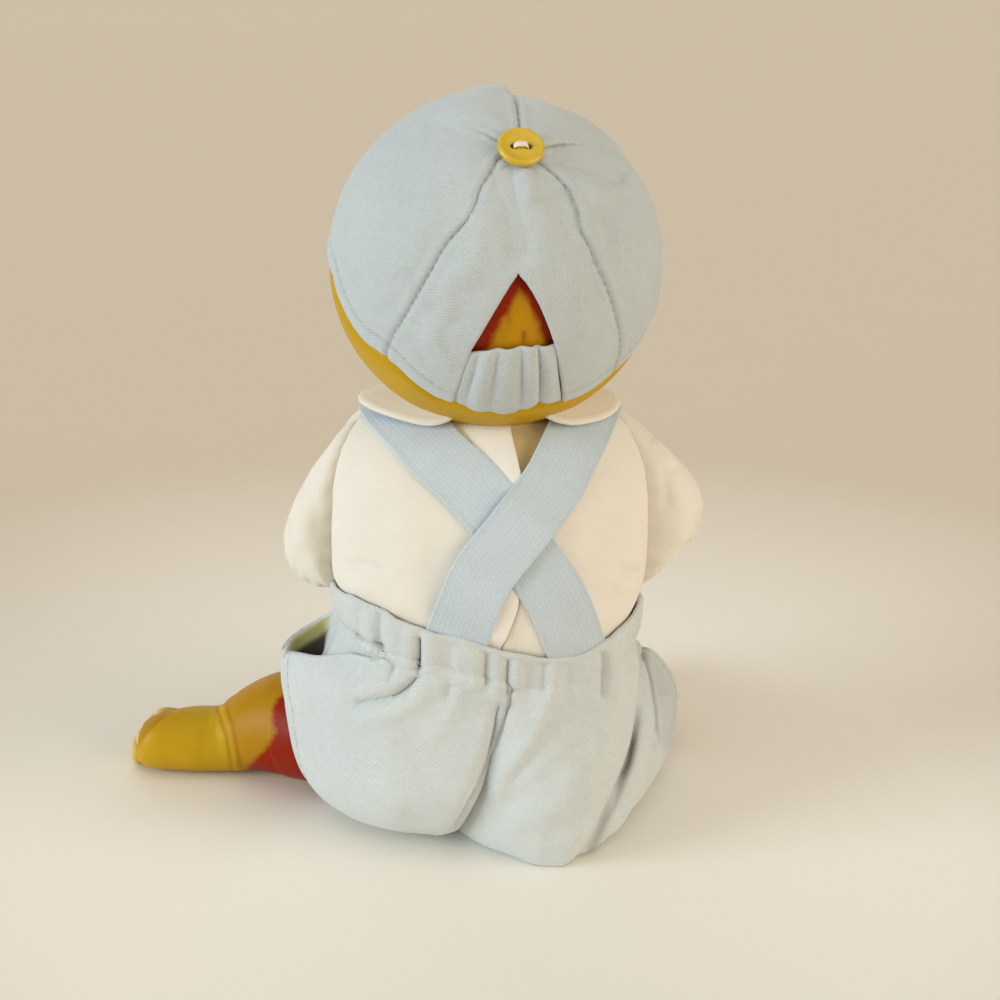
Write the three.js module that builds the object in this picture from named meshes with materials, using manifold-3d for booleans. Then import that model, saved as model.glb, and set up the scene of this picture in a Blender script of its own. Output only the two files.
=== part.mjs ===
// Seated baby doll: stuffed cloth body, vinyl head, forearms and lower legs,
// dressed in a cap, a collared shirt, trousers and crossed elastic suspenders.
// Millimetres, +Z up. The doll faces -Y, its left side is +X, and the flat
// underside of the trouser seat lies on Z = 0.
import * as THREE from 'three';
import { mergeVertices } from 'three/addons/utils/BufferGeometryUtils.js';
import Module from 'manifold-3d';

const wasm = await Module();
wasm.setup();
const { Manifold, Mesh: SolidMesh } = wasm;

// ---------------------------------------------------------------- dimensions
const GAP = 0.3; // clearance between neighbouring pieces
const ROUND = 22; // facets round the torso pieces
const HEAD = new THREE.Vector3(-2, 4, 193.5); // centre of the head ball
const HEAD_R = 48.8; // vinyl head radius
const HEAD_WALL = 3.3; // vinyl wall
const HEAD_YAW = 6.4; // degrees the head is turned to its own left
const CAP_IN = 49.4; // cap lining radius
const CAP_OUT = 51.4; // cap outer radius
const CAP_TILT = 30; // degrees the crown leans back
const CAP_RIM_SIDE = 97; // rim angle from the crown, side
const CAP_RIM_BACK = 105; // rim angle from the crown, back
const CAP_RIM_FRONT = 90; // rim angle from the crown, front
const BUTTON_R = 7.5; // 15 mm crown button
const BILL_LEN = 25;
const BILL_SPREAD = 84; // degrees of the rim the bill is sewn to
const NECK_R = 15; // neck stub
const SHIRT_T = 1.2; // shirt cloth with its seams
const ARMHOLE_X = 46; // plane of the armhole seam
const SHOULDER = new THREE.Vector3(ARMHOLE_X, 3, 122);
const ELBOW = new THREE.Vector3(55.5, -10, 95);
const FOREARM_DIR = new THREE.Vector3(-0.04, -0.88, -0.47).normalize();
const WAIST_TILT = 0.06; // waistband rises towards the doll's left
const WAIST_LOW = 61.5;
const WAIST_HIGH = 75.5;
const STRAP_W = 19; // suspender elastic
const STRAP_T = 1.5;
const STRAP_OFF = 0.95; // strap's underside over the shirt
const HIP = new THREE.Vector3(30, -4, 30.5); // left hip centre
const HIP_R = 28; // trouser leg ball
const PANTS_T = 1.8; // trouser cloth with lining and hem
const LEFT_SPLAY = 58.6; // thigh angle from straight ahead
const RIGHT_SPLAY = 19;
const HEM_U = 44; // trouser hem, from the hip along the thigh
const KNEE_U = 36; // leg tie, from the hip along the thigh
const KNEE_DROP = 10;

// ------------------------------------------------------------------- helpers
const rad = THREE.MathUtils.degToRad;
const V3 = (x, y, z) => new THREE.Vector3(x, y, z);

// closed geometry -> solid, outward whatever the winding of the source
function solid(geo) {
  const g = new THREE.BufferGeometry();
  g.setAttribute('position', geo.getAttribute('position').clone());
  if (geo.index) g.setIndex(geo.index.clone());
  const m = mergeVertices(g, 1e-4);
  const pos = Float32Array.from(m.getAttribute('position').array);
  const src = m.index.array;
  const tri = [];
  let vol = 0;
  const a = V3(0, 0, 0), b = V3(0, 0, 0), c = V3(0, 0, 0);
  for (let i = 0; i < src.length; i += 3) {
    if (src[i] === src[i + 1] || src[i] === src[i + 2] || src[i + 1] === src[i + 2]) continue;
    tri.push(src[i], src[i + 1], src[i + 2]);
    a.fromArray(pos, src[i] * 3);
    b.fromArray(pos, src[i + 1] * 3);
    c.fromArray(pos, src[i + 2] * 3);
    vol += a.dot(b.cross(c));
  }
  if (vol < 0) for (let i = 0; i < tri.length; i += 3) [tri[i], tri[i + 1]] = [tri[i + 1], tri[i]];
  return new Manifold(new SolidMesh({ numProp: 3, vertProperties: pos, triVerts: Uint32Array.from(tri) }));
}

function geometryOf(body) {
  const m = body.getMesh();
  const g = new THREE.BufferGeometry();
  g.setAttribute('position', new THREE.BufferAttribute(Float32Array.from(m.vertProperties), 3));
  g.setIndex(new THREE.BufferAttribute(Uint32Array.from(m.triVerts), 1));
  g.computeVertexNormals();
  return g;
}

// rows of points round a body, first and last row being a single pole point
function rowsBody(rows, around) {
  const g = new THREE.SphereGeometry(1, around, rows.length - 1);
  const p = g.getAttribute('position');
  for (let i = 0; i < p.count; i++) {
    const q = rows[Math.floor(i / (around + 1))](((i % (around + 1)) % around) / around * 2 * Math.PI);
    p.setXYZ(i, q.x, q.y, q.z);
  }
  return solid(g);
}

const spow = (c, e) => Math.sign(c) * Math.pow(Math.abs(c), e);

// horizontal superellipse rings [z, rx, ry, cx, cy]; rings of zero size are poles
function stack(rings, around, n = 2.4) {
  return rowsBody(
    rings.map(([z, rx, ry, cx, cy]) => (f) =>
      V3(cx - rx * spow(Math.cos(f), 2 / n), cy - ry * spow(Math.sin(f), 2 / n), z)),
    around,
  );
}

// cross-sections [point, half width, half height] along a limb
function limb(sections, around) {
  const pts = sections.map((s) => s[0]);
  const rows = sections.map(([c, a, b], i) => {
    const t = pts[Math.min(i + 1, pts.length - 1)].clone().sub(pts[Math.max(i - 1, 0)]).normalize();
    const side = V3(0, 0, 1).cross(t).normalize();
    const up = t.clone().cross(side);
    return (f) => c.clone().addScaledVector(side, a * Math.cos(f)).addScaledVector(up, b * Math.sin(f));
  });
  return rowsBody(rows, around);
}

// curved plate: box grid (u, v, w in 0..1) mapped to space
function plate(nu, nv, fn) {
  const g = new THREE.BoxGeometry(1, 1, 1, nu, nv, 1);
  const p = g.getAttribute('position');
  for (let i = 0; i < p.count; i++) {
    const q = fn(p.getX(i) + 0.5, p.getY(i) + 0.5, p.getZ(i) + 0.5);
    p.setXYZ(i, q.x, q.y, q.z);
  }
  return solid(g);
}

function box(x0, x1, y0, y1, z0, z1) {
  const g = new THREE.BoxGeometry(x1 - x0, y1 - y0, z1 - z0);
  g.translate((x0 + x1) / 2, (y0 + y1) / 2, (z0 + z1) / 2);
  return g;
}

// profile [radius, height] turned about an axis through o along dir
function turned(profile, seg, o, dir) {
  const g = new THREE.LatheGeometry(profile.map(([r, h]) => new THREE.Vector2(r, h)), seg);
  g.applyQuaternion(new THREE.Quaternion().setFromUnitVectors(V3(0, 1, 0), dir.clone().normalize()));
  g.translate(o.x, o.y, o.z);
  return solid(g);
}

function ball(c, r, w = 16, h = 10, sx = 1, sy = 1, sz = 1) {
  const g = new THREE.SphereGeometry(r, w, h);
  g.scale(sx, sy, sz);
  g.translate(c.x, c.y, c.z);
  return solid(g);
}

// outline in X and Z pulled along Y from y0 to y1
function prismY(outline, y0, y1) {
  const g = new THREE.ExtrudeGeometry(new THREE.Shape(outline.map(([x, z]) => new THREE.Vector2(x, z))), { depth: y1 - y0, bevelEnabled: false });
  g.rotateX(Math.PI / 2);
  g.translate(0, y1, 0);
  return solid(g);
}

// outline in X and Y pulled along Z from z0 to z1
function prismZ(outline, z0, z1) {
  const g = new THREE.ExtrudeGeometry(new THREE.Shape(outline.map(([x, y]) => new THREE.Vector2(x, y))), { depth: z1 - z0, bevelEnabled: false });
  g.translate(0, 0, z0);
  return solid(g);
}

function shear(geo) {
  const p = geo.getAttribute('position');
  for (let i = 0; i < p.count; i++) p.setZ(i, p.getZ(i) + WAIST_TILT * p.getX(i));
  return geo;
}

const mirrorX = (v) => V3(-v.x, v.y, v.z);

// a vinyl limb end held in a cloth casing by a tie round its groove
const stubProfile = (r) => [[0, -11], [r - 1, -11], [r, -10], [r, -6.8], [r - 2, -6], [r - 2, -3], [r, -2.2], [r, 3], [0, 3]];
const socketProfile = (r) => [[0, -11.4], [r - 0.8, -11.4], [r + GAP, -10.1], [r + GAP, -6.6], [r - 1.7, -5.8], [r - 1.7, -3.2], [r + GAP, -2.4], [r + GAP, 4], [0, 4]];
const casingProfile = (r) => [[0, -18], [r + 2.6, -15], [r + 2.8, -7], [r + 1, -6.1], [r + 1, -2.9], [r + 2.8, -2], [r + 2.4, 0], [0, 0]];
const tieProfile = (r) => [[r + 1.3, -5.7], [r + 3.1, -5.7], [r + 3.1, -3.3], [r + 1.3, -3.3], [r + 1.3, -5.7]];

const group = new THREE.Group();
group.name = 'baby_doll';
function add(name, body, colour, roughness = 0.85, metalness = 0) {
  const mesh = new THREE.Mesh(
    geometryOf(body),
    new THREE.MeshStandardMaterial({ color: colour, roughness, metalness }),
  );
  mesh.name = name;
  group.add(mesh);
}

const BLUE = 0xa9b4bd, CREAM = 0xe9e2d2, SKIN = 0xc08d2c, CLOTH_SKIN = 0xb98f3f, YELLOW = 0xdcb81c, DARK = 0x2a1c16, WHITE = 0xefece4;

// ------------------------------------------------------- torso outline tables
// [z, rx, ry, cx, cy] of the shirt's outside
const SHIRT = [
  [58, 44.8, 37.6, 0, 3], [70, 45.2, 38.2, 0, 3], [80, 46.8, 39.6, 0, 3], [90, 48, 40, 0, 3],
  [105, 48.5, 39.2, 0, 3], [120, 48, 36.6, 0, 3], [130, 47, 33.2, 0, 3], [137, 43.5, 28.8, 0, 3],
  [142, 37, 24, 0, 3], [145, 28, 19.5, 0, 3], [146.2, 12, 10, 0, 3],
];
function ringAt(z) {
  if (z <= SHIRT[0][0]) return SHIRT[0].slice();
  for (let i = 1; i < SHIRT.length; i++) {
    if (z <= SHIRT[i][0]) {
      const t = (z - SHIRT[i - 1][0]) / (SHIRT[i][0] - SHIRT[i - 1][0]);
      return SHIRT[i].map((v, k) => SHIRT[i - 1][k] + t * (v - SHIRT[i - 1][k]));
    }
  }
  return null;
}
function insideShirt(x, y, z, n = 2.4) {
  const r = ringAt(z);
  if (!r) return false;
  return Math.pow(Math.abs(x) / r[1], n) + Math.pow(Math.abs(y - r[4]) / r[2], n) < 1;
}
const shirtRows = (d) => {
  const rows = [...SHIRT].reverse().map(([z, rx, ry, cx, cy]) => [z > 125 ? z - d : z, Math.max(rx - d, 1), Math.max(ry - d, 1), cx, cy]);
  rows.unshift([rows[0][0] + 0.2, 0, 0, 0, 3]);
  rows.push([rows[rows.length - 1][0], 0, 0, 0, 3]);
  return rows;
};
// [z, rx, ry, cx, cy] of the trouser seat's outside
const SEAT = [
  [-6, 12, 10, 0, 8], [-3, 30, 24, 0, 8], [0, 41, 32, 0, 8], [8, 49.5, 36.5, 0, 8], [20, 53, 38.5, 0, 7],
  [34, 53, 39, 0, 6], [47, 51, 39.2, 0, 5], [58, 48.4, 39.8, 0, 3.6], [70, 46.5, 40, 0, 3],
];
const seatRows = (d) => {
  const rows = [...SEAT].reverse().map(([z, rx, ry, cx, cy]) => [z, rx - d, ry - d, cx, cy]);
  rows.unshift([rows[0][0], 0, 0, 0, 3]);
  rows.push([rows[rows.length - 1][0] - 0.5, 0, 0, 0, 8]);
  return rows;
};

// ------------------------------------------------------------ leg clearances
const thighDir = (sx, splay) => V3(sx * Math.sin(rad(splay)), -Math.cos(rad(splay)), 0);
const thighOut = (sx, splay) => V3(sx * Math.cos(rad(splay)), Math.sin(rad(splay)), 0);
function legSweep(sx, from, to) {
  const h = sx > 0 ? HIP : mirrorX(HIP);
  const R = HIP_R + 0.3;
  const at = (d, n, u, v) => [h.x + d.x * u + n.x * v, h.y + d.y * u + n.y * v];
  const d1 = thighDir(sx, to), n1 = thighOut(sx, to), d0 = thighDir(sx, from), n0 = thighOut(sx, from);
  const dm = thighDir(sx, (from + to) / 2);
  const outline = [at(d1, n1, 0, R), at(d1, n1, 80, R), [h.x + dm.x * 130, h.y + dm.y * 130], at(d0, n0, 80, -R), at(d0, n0, 0, -R)];
  return prismZ(sx > 0 ? outline.reverse() : outline, HIP.z - HIP_R - 0.3, HIP.z + HIP_R + 0.6);
}
const hipBalls = ball(HIP, HIP_R + 0.9, 18, 12).add(ball(mirrorX(HIP), HIP_R + 0.9, 18, 12));
const legRoom = legSweep(1, 7, 64).add(legSweep(-1, 7, 64));

// ----------------------------------------------------------------- the torso
const neckAt = V3(HEAD.x, HEAD.y, 143);
const Z = V3(0, 0, 1);
{
  const upper = shirtRows(SHIRT_T + 0.8);
  const body = stack(upper, 18)
    .add(stack([
      [66, 0, 0, 0, 3], [66, 41, 34, 0, 3], [50, 44, 34.5, 0, 4], [34, 45, 34.5, 0, 5.5], [18, 43, 33, 0, 6.5], [8, 36, 28, 0, 7.5],
      [3.4, 24, 18, 0, 8], [3, 0, 0, 0, 8],
    ], 18))
    .subtract(ball(HIP, HIP_R + 1.4, 14, 9))
    .subtract(ball(mirrorX(HIP), HIP_R + 1.4, 14, 9))
    .subtract(legRoom);
  // neck casing with a recess round it for the tie
  const recess = turned([[18, 7], [18, -1.4], [16, -2], [16, -6], [18, -6.6], [18, -7.5], [22.4, -7.5], [22.4, 7], [18, 7]], 16, neckAt, Z);
  const socket = turned([[0, -12.4], [14.2, -12.4], [15.3, -11.4], [15.3, -6.1], [13.1, -5.1], [13.1, -2.9], [15.3, -1.9], [15.3, 6], [0, 6]], 16, neckAt, Z);
  const bore = (s) => turned([[0, -0.4], [7.4, -0.4], [7.4, 30], [0, 30]], 12, V3(s * 34, SHOULDER.y, SHOULDER.z), V3(s, 0, 0));
  add('cloth_body', body.subtract(recess).subtract(socket).subtract(bore(1)).subtract(bore(-1)), CLOTH_SKIN, 0.9);
  add('neck_tie', turned([[16.3, -5.7], [18.2, -5.7], [18.2, -2.3], [16.3, -2.3], [16.3, -5.7]], 16, neckAt, Z), WHITE, 0.5);
}

// shirt: front and two back panels, open at the neck, armholes and back
{
  const shell = stack(shirtRows(0), ROUND)
    .subtract(stack(shirtRows(SHIRT_T), ROUND))
    .intersect(solid(box(-ARMHOLE_X, ARMHOLE_X, -60, 60, 63, 160)))
    .subtract(turned([[0, -30], [22.4, -30], [22.4, 20], [0, 20]], 16, neckAt, Z))
    .subtract(turned([[0, -60], [9, -60], [9, 60], [0, 60]], 10, V3(0, SHOULDER.y, SHOULDER.z), V3(1, 0, 0)));
  const split = SHOULDER.y;
  const slit = prismY([[-4.15, 50], [-3.85, 50], [-3.85, 127], [-2, 160], [-19, 160], [-4.15, 127]], split, 60);
  add('shirt_front', shell.intersect(solid(box(-60, 60, -60, split - 0.15, 0, 200))), CREAM);
  const back = shell.intersect(solid(box(-60, 60, split + 0.15, 60, 0, 200))).subtract(slit);
  add('shirt_back_left', back.intersect(prismY([[-4, 50], [60, 50], [60, 200], [-6, 200], [-4, 127]], 0, 60)), CREAM);
  add('shirt_back_right', back.intersect(prismY([[-4, 50], [-4, 127], [-6, 200], [-60, 200], [-60, 50]], 0, 60)), CREAM);
}

// collar wings lying over the suspenders
function collarWing(s) {
  const a0 = s > 0 ? 26 : 30, a1 = 162;
  return plate(12, 2, (u, v, w) => {
    const a = rad(a0 + (a1 - a0) * u);
    const edge = Math.pow(Math.min(1, Math.min(u, 1 - u) / 0.12), 0.5); // rounded wing tips
    const rOut = 1 / Math.hypot(Math.sin(a) / 41, Math.cos(a) / 29.5);
    const r = 22.8 + (rOut - 22.8) * (0.35 + 0.65 * edge) * v;
    const k = (r - 22.8) / (rOut - 22.8);
    return V3(HEAD.x * 0.5 + s * r * Math.sin(a), HEAD.y + r * Math.cos(a), 148.5 - 3.0 * k * k + 1.3 * w);
  });
}
add('collar_left', collarWing(1), CREAM);
add('collar_right', collarWing(-1), CREAM);

// suspenders: surface strips from the back waist over the shoulder to the front
const ARC = V3(0, 3, 104);
function onShirt(x, alpha, off) {
  let lo = 5, hi = 80;
  const cy = Math.cos(alpha), sz = Math.sin(alpha);
  for (let i = 0; i < 40; i++) {
    const m = (lo + hi) / 2;
    if (insideShirt(x, ARC.y + m * cy, ARC.z + m * sz)) lo = m; else hi = m;
  }
  const e = 0.05;
  const reach = (a, xx) => {
    let l = 5, h = 80;
    for (let i = 0; i < 40; i++) {
      const m = (l + h) / 2;
      if (insideShirt(xx, ARC.y + m * Math.cos(a), ARC.z + m * Math.sin(a))) l = m; else h = m;
    }
    return V3(xx, ARC.y + l * Math.cos(a), ARC.z + l * Math.sin(a));
  };
  const p = V3(x, ARC.y + lo * cy, ARC.z + lo * sz);
  const n = reach(alpha + e, x).sub(reach(alpha - e, x)).cross(V3(-1, 0, 0).multiplyScalar(1));
  const nx = reach(alpha, x + 2).sub(reach(alpha, x - 2));
  const nn = nx.cross(reach(alpha + e, x).sub(reach(alpha - e, x))).normalize();
  if (nn.dot(p.clone().sub(ARC)) < 0) nn.negate();
  return p.addScaledVector(nn, off);
}
function suspender(backX, topX, frontX, over) {
  const a0 = rad(-40), aTopB = rad(62), aTopF = rad(118), a1 = rad(222);
  const centre = (t) => {
    const al = a0 + (a1 - a0) * t;
    if (al < aTopB) {
      const k = (al - a0) / (aTopB - a0);
      return [al, backX + (topX - backX) * k, 1];
    }
    if (al < aTopF) return [al, topX, 0];
    const k = (al - aTopF) / (a1 - aTopF);
    return [al, topX + (frontX - topX) * k, 0];
  };
  const body = plate(28, 2, (u, v, w) => {
    const [al, xc, back] = centre(u);
    const tilt = back * Math.atan2(topX - backX, 78) * Math.min(1, (aTopB - al) / 0.35);
    const s = (v - 0.5) * STRAP_W;
    const x = xc + s * Math.cos(tilt);
    const alo = al - (s * Math.sin(tilt)) / 42;
    // the upper strap rises over the lower one where they cross
    const d = Math.abs(al - rad(5)) * 42;
    const lift = over * (STRAP_T + 0.75) * THREE.MathUtils.clamp((40 - d) / 14, 0, 1);
    return onShirt(x, alo, STRAP_OFF + lift + STRAP_T * w);
  });
  const below = solid(shear(box(-90, 90, -90, 90, 0, WAIST_HIGH + 0.5)));
  return body.subtract(below);
}
add('suspender_left', suspender(-25, 28, 24, 0), BLUE, 0.8);
add('suspender_right', suspender(12, -30, -24, 1), BLUE, 0.8);
for (const [name, x] of [['suspender_button_left', 24], ['suspender_button_right', -24]]) {
  const a = rad(207);
  const at = onShirt(x, a, STRAP_OFF + STRAP_T + 0.9);
  const out = onShirt(x, a, 20).sub(at).normalize();
  add(name, turned([[0, 0], [6, 0], [6.5, 0.8], [6, 1.8], [3.5, 1.3], [0, 1.3]], 16, at, out), YELLOW, 0.35);
}

// waistband of gathered elastic, higher on the doll's left
{
  const ring = (z, off) => (f) => {
    const zz = z + WAIST_TILT * 46 * -Math.cos(f);
    const r = ringAt(zz);
    return V3(-(r[1] + off) * spow(Math.cos(f), 2 / 2.4), r[4] - (r[2] + off) * spow(Math.sin(f), 2 / 2.4), zz);
  };
  const pole = (z) => () => V3(0, 3, z);
  const zs = [WAIST_HIGH, WAIST_HIGH - 2.5, (WAIST_HIGH + WAIST_LOW) / 2, WAIST_LOW + 2.5, WAIST_LOW];
  const outer = rowsBody([pole(WAIST_HIGH), ring(zs[0], 2.3), ring(zs[1], 3.1), ring(zs[2], 2.9), ring(zs[3], 3.1), ring(zs[4], 2.3), pole(WAIST_LOW)], ROUND);
  const inner = rowsBody([pole(WAIST_HIGH + 1), ring(WAIST_HIGH + 1, 0.5), ring(zs[0], 0.5), ring(zs[2], 0.5), ring(zs[4], 0.5), ring(WAIST_LOW - 1, 0.5), pole(WAIST_LOW - 1)], ROUND);
  add('waistband', outer.subtract(inner), BLUE);
}

// trouser seat: back, base and yoke, hollowed for the body and the leg balls
{
  const room = solid(shear(box(-100, 100, -100, 100, -10, WAIST_LOW - 0.4)));
  const outer = stack(seatRows(0), ROUND).intersect(solid(box(-90, 90, -90, 90, 0, 90))).intersect(room);
  const inner = stack(seatRows(PANTS_T), ROUND).intersect(solid(box(-90, 90, -90, 90, 2, 90)));
  add('pants_seat', outer.subtract(inner).subtract(hipBalls).subtract(legRoom), BLUE);
}

// side pockets: open troughs between the waist and the top of the thigh
function pocket(s, flare, lift) {
  const o = (pts) => (s > 0 ? pts : pts.map(([x, z]) => [-x, z]).reverse());
  const outer = prismY(o([[50.3, 59.6 + lift], [57, 59.6 + lift], [flare, 62.2 + lift], [flare - 0.4, 64.4 + lift], [56, 71 + lift], [52.4, 74.5 + lift], [50.3, 74.5 + lift]]), -12, 20);
  const cave = prismY(o([[52.1, 61.4 + lift], [56.6, 61.4 + lift], [flare - 1.8, 63.9 + lift], [flare, 66 + lift], [flare, 80 + lift], [52.1, 80 + lift]]), -10.2, 18.2);
  return outer.subtract(cave);
}
add('left_pocket', pocket(1, 68, 0), BLUE);
add('right_pocket', pocket(-1, 61, -0.4), BLUE);

// ------------------------------------------------------------------ the head
const turnHead = (geo) => {
  geo.translate(-HEAD.x, -HEAD.y, 0);
  geo.rotateZ(rad(HEAD_YAW));
  geo.translate(HEAD.x, HEAD.y, 0);
  return geo;
};
const turnPoint = (d) => d.clone().applyAxisAngle(Z, rad(HEAD_YAW));
{
  const bump = (d, x, y, z, amp, width) => amp * Math.exp(-Math.pow(d.angleTo(V3(x, y, z)) / width, 2));
  const g = new THREE.SphereGeometry(1, 24, 16);
  g.rotateX(Math.PI / 2);
  const p = g.getAttribute('position');
  const d = V3(0, 0, 0);
  for (let i = 0; i < p.count; i++) {
    d.fromBufferAttribute(p, i).normalize();
    let r = HEAD_R;
    r += bump(d, 0.42, -0.84, -0.36, 2.6, 0.3) + bump(d, -0.42, -0.84, -0.36, 2.6, 0.3); // cheeks
    r += bump(d, 0, -0.82, -0.58, 2.4, 0.2); // chin
    r -= bump(d, 0, -0.9, -0.42, 1.6, 0.14); // mouth
    r -= bump(d, 0.32, -0.94, 0.02, 1.6, 0.2) + bump(d, -0.32, -0.94, 0.02, 1.6, 0.2); // eye hollows
    p.setXYZ(i, HEAD.x + d.x * r, HEAD.y + d.y * r, HEAD.z + d.z * r);
  }
  const nose = ball(HEAD.clone().addScaledVector(turnPoint(V3(0, -0.98, -0.2)), HEAD_R - 0.6), 5, 10, 7);
  const outer = solid(turnHead(g)).add(nose);
  const eyes = {};
  let head = outer.subtract(ball(HEAD, HEAD_R - HEAD_WALL, 14, 9));
  for (const s of [1, -1]) {
    const at = HEAD.clone().addScaledVector(turnPoint(V3(0.32 * s, -0.945, 0.0).normalize()), 43.4);
    head = head.subtract(ball(at, 6.3, 10, 8));
    eyes[s] = ball(at, 5.7, 10, 8);
  }
  const stub = turned([[0, -12], [14, -12], [15, -11.2], [15, -6.4], [12.8, -5.4], [12.8, -2.6], [15, -1.6], [15, 7], [0, 7]], 16, neckAt, Z);
  const hole = turned([[0, -20], [9, -20], [9, 12], [0, 12]], 12, neckAt, Z);
  add('head_shell', head.add(stub.subtract(ball(HEAD, HEAD_R - 1.4, 16, 10))).subtract(hole), SKIN, 0.4);
  add('left_eye', eyes[1], DARK, 0.15);
  add('right_eye', eyes[-1], DARK, 0.15);
}

// cap frame: crown along +Z, back along +Y, then leaned back and turned
const capTurn = new THREE.Matrix4()
  .makeTranslation(HEAD.x, HEAD.y, HEAD.z)
  .multiply(new THREE.Matrix4().makeRotationZ(rad(HEAD_YAW)))
  .multiply(new THREE.Matrix4().makeRotationX(rad(-CAP_TILT)));
const capPoint = (r, psi, theta) =>
  V3(-r * Math.sin(theta) * Math.sin(psi), r * Math.sin(theta) * Math.cos(psi), r * Math.cos(theta)).applyMatrix4(capTurn);
// psi is measured from the back centre towards the doll's right
function rimAt(psi) {
  const c = Math.cos(psi);
  return rad(c > 0 ? CAP_RIM_SIDE + (CAP_RIM_BACK - CAP_RIM_SIDE) * c * c : CAP_RIM_SIDE + (CAP_RIM_FRONT - CAP_RIM_SIDE) * c * c);
}
const CROWN0 = rad(5);
function capPanel(p0, p1, nu, nv) {
  return plate(nu, nv, (u, v, w) => {
    const mid = (p0 + p1) / 2;
    const psi0 = rad(p0 + (p1 - p0) * u);
    const theta = CROWN0 + (rimAt(psi0) - CROWN0) * v;
    const trim = 0.16 / (CAP_IN * Math.sin(theta)); // seam clearance each side
    const psi = rad(mid) + (psi0 - rad(mid)) * (1 - trim / rad((p1 - p0) / 2));
    return capPoint(CAP_IN + (CAP_OUT - CAP_IN) * w, psi, theta);
  });
}
{
  // arched opening over the strap
  const arch = new THREE.Shape();
  arch.moveTo(-13.6, -40);
  arch.lineTo(-13.6, 14);
  arch.quadraticCurveTo(-10, 28, 0, 34.5);
  arch.quadraticCurveTo(10, 28, 13.6, 14);
  arch.lineTo(13.6, -40);
  const cut = new THREE.ExtrudeGeometry(arch, { depth: 60, bevelEnabled: false, curveSegments: 5 });
  cut.rotateX(Math.PI / 2);
  cut.translate(0, 75, 0);
  cut.applyMatrix4(capTurn);
  add('cap_back_panel', capPanel(-50, 50, 10, 9).subtract(solid(cut)), BLUE);
  add('cap_right_side_panel', capPanel(50, 112, 6, 8), BLUE);
  add('cap_left_side_panel', capPanel(-112, -50, 6, 8), BLUE);
  add('cap_front_right_panel', capPanel(112, 180, 6, 8), BLUE);
  add('cap_front_left_panel', capPanel(-180, -112, 6, 8), BLUE);
  // gathered strap closing the opening
  add('cap_strap', plate(6, 4, (u, v, w) => {
    const theta = rad(77 + 35 * v);
    const half = Math.asin((13.6 - 0.4) / (CAP_OUT * Math.sin(theta)));
    const sag = 0.02 * (1 - Math.pow(2 * u - 1, 2)) * v;
    return capPoint(CAP_IN + 0.2 + (CAP_OUT - CAP_IN) * w, half * (2 * u - 1) * 0.985, theta + sag);
  }), BLUE);
  // bill on the front edge
  add('cap_bill', plate(12, 3, (u, v, w) => {
    const a = (u - 0.5) * rad(BILL_SPREAD);
    const len = BILL_LEN * Math.pow(Math.max(0, Math.cos((u - 0.5) * Math.PI * 0.98)), 0.55) + 1.2;
    const r = CAP_OUT + 0.35 + len * v;
    const drop = -(r - CAP_OUT) * Math.tan(rad(34)) - 9 * Math.pow(Math.sin(a), 2) * v;
    return V3(r * Math.sin(a), -r * Math.cos(a), drop + 2.2 * (w - 0.5) + 1).applyMatrix4(capTurn);
  }), BLUE);
  // crown button with two thread holes and its thread
  const pole = capPoint(CAP_OUT + 0.55, 0, 0);
  const up = capPoint(100, 0, 0).sub(capPoint(50, 0, 0)).normalize();
  const across = V3(1, 0, 0).applyMatrix4(new THREE.Matrix4().extractRotation(capTurn));
  const disc = turned([[0, 0], [6.2, 0], [BUTTON_R, 0.9], [7.3, 2.4], [6.2, 3.2], [5.2, 2.7], [0, 2.3]], 16, pole, up);
  const legAt = (s) => pole.clone().addScaledVector(across, 1.9 * s);
  const holes = turned([[0, -1], [1.25, -1], [1.25, 5], [0, 5]], 8, legAt(1), up).add(turned([[0, -1], [1.25, -1], [1.25, 5], [0, 5]], 8, legAt(-1), up));
  add('cap_button', disc.subtract(holes), YELLOW, 0.3);
  const legs = turned([[0, 0.3], [0.9, 0.3], [0.9, 3.4], [0, 3.4]], 6, legAt(1), up).add(turned([[0, 0.3], [0.9, 0.3], [0.9, 3.4], [0, 3.4]], 6, legAt(-1), up));
  const bar = turned([[0, -2.9], [0.9, -2.4], [0.9, 2.4], [0, 2.9]], 6, pole.clone().addScaledVector(up, 3.5), across);
  add('cap_button_thread', legs.add(bar), WHITE, 0.8);
}

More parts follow.
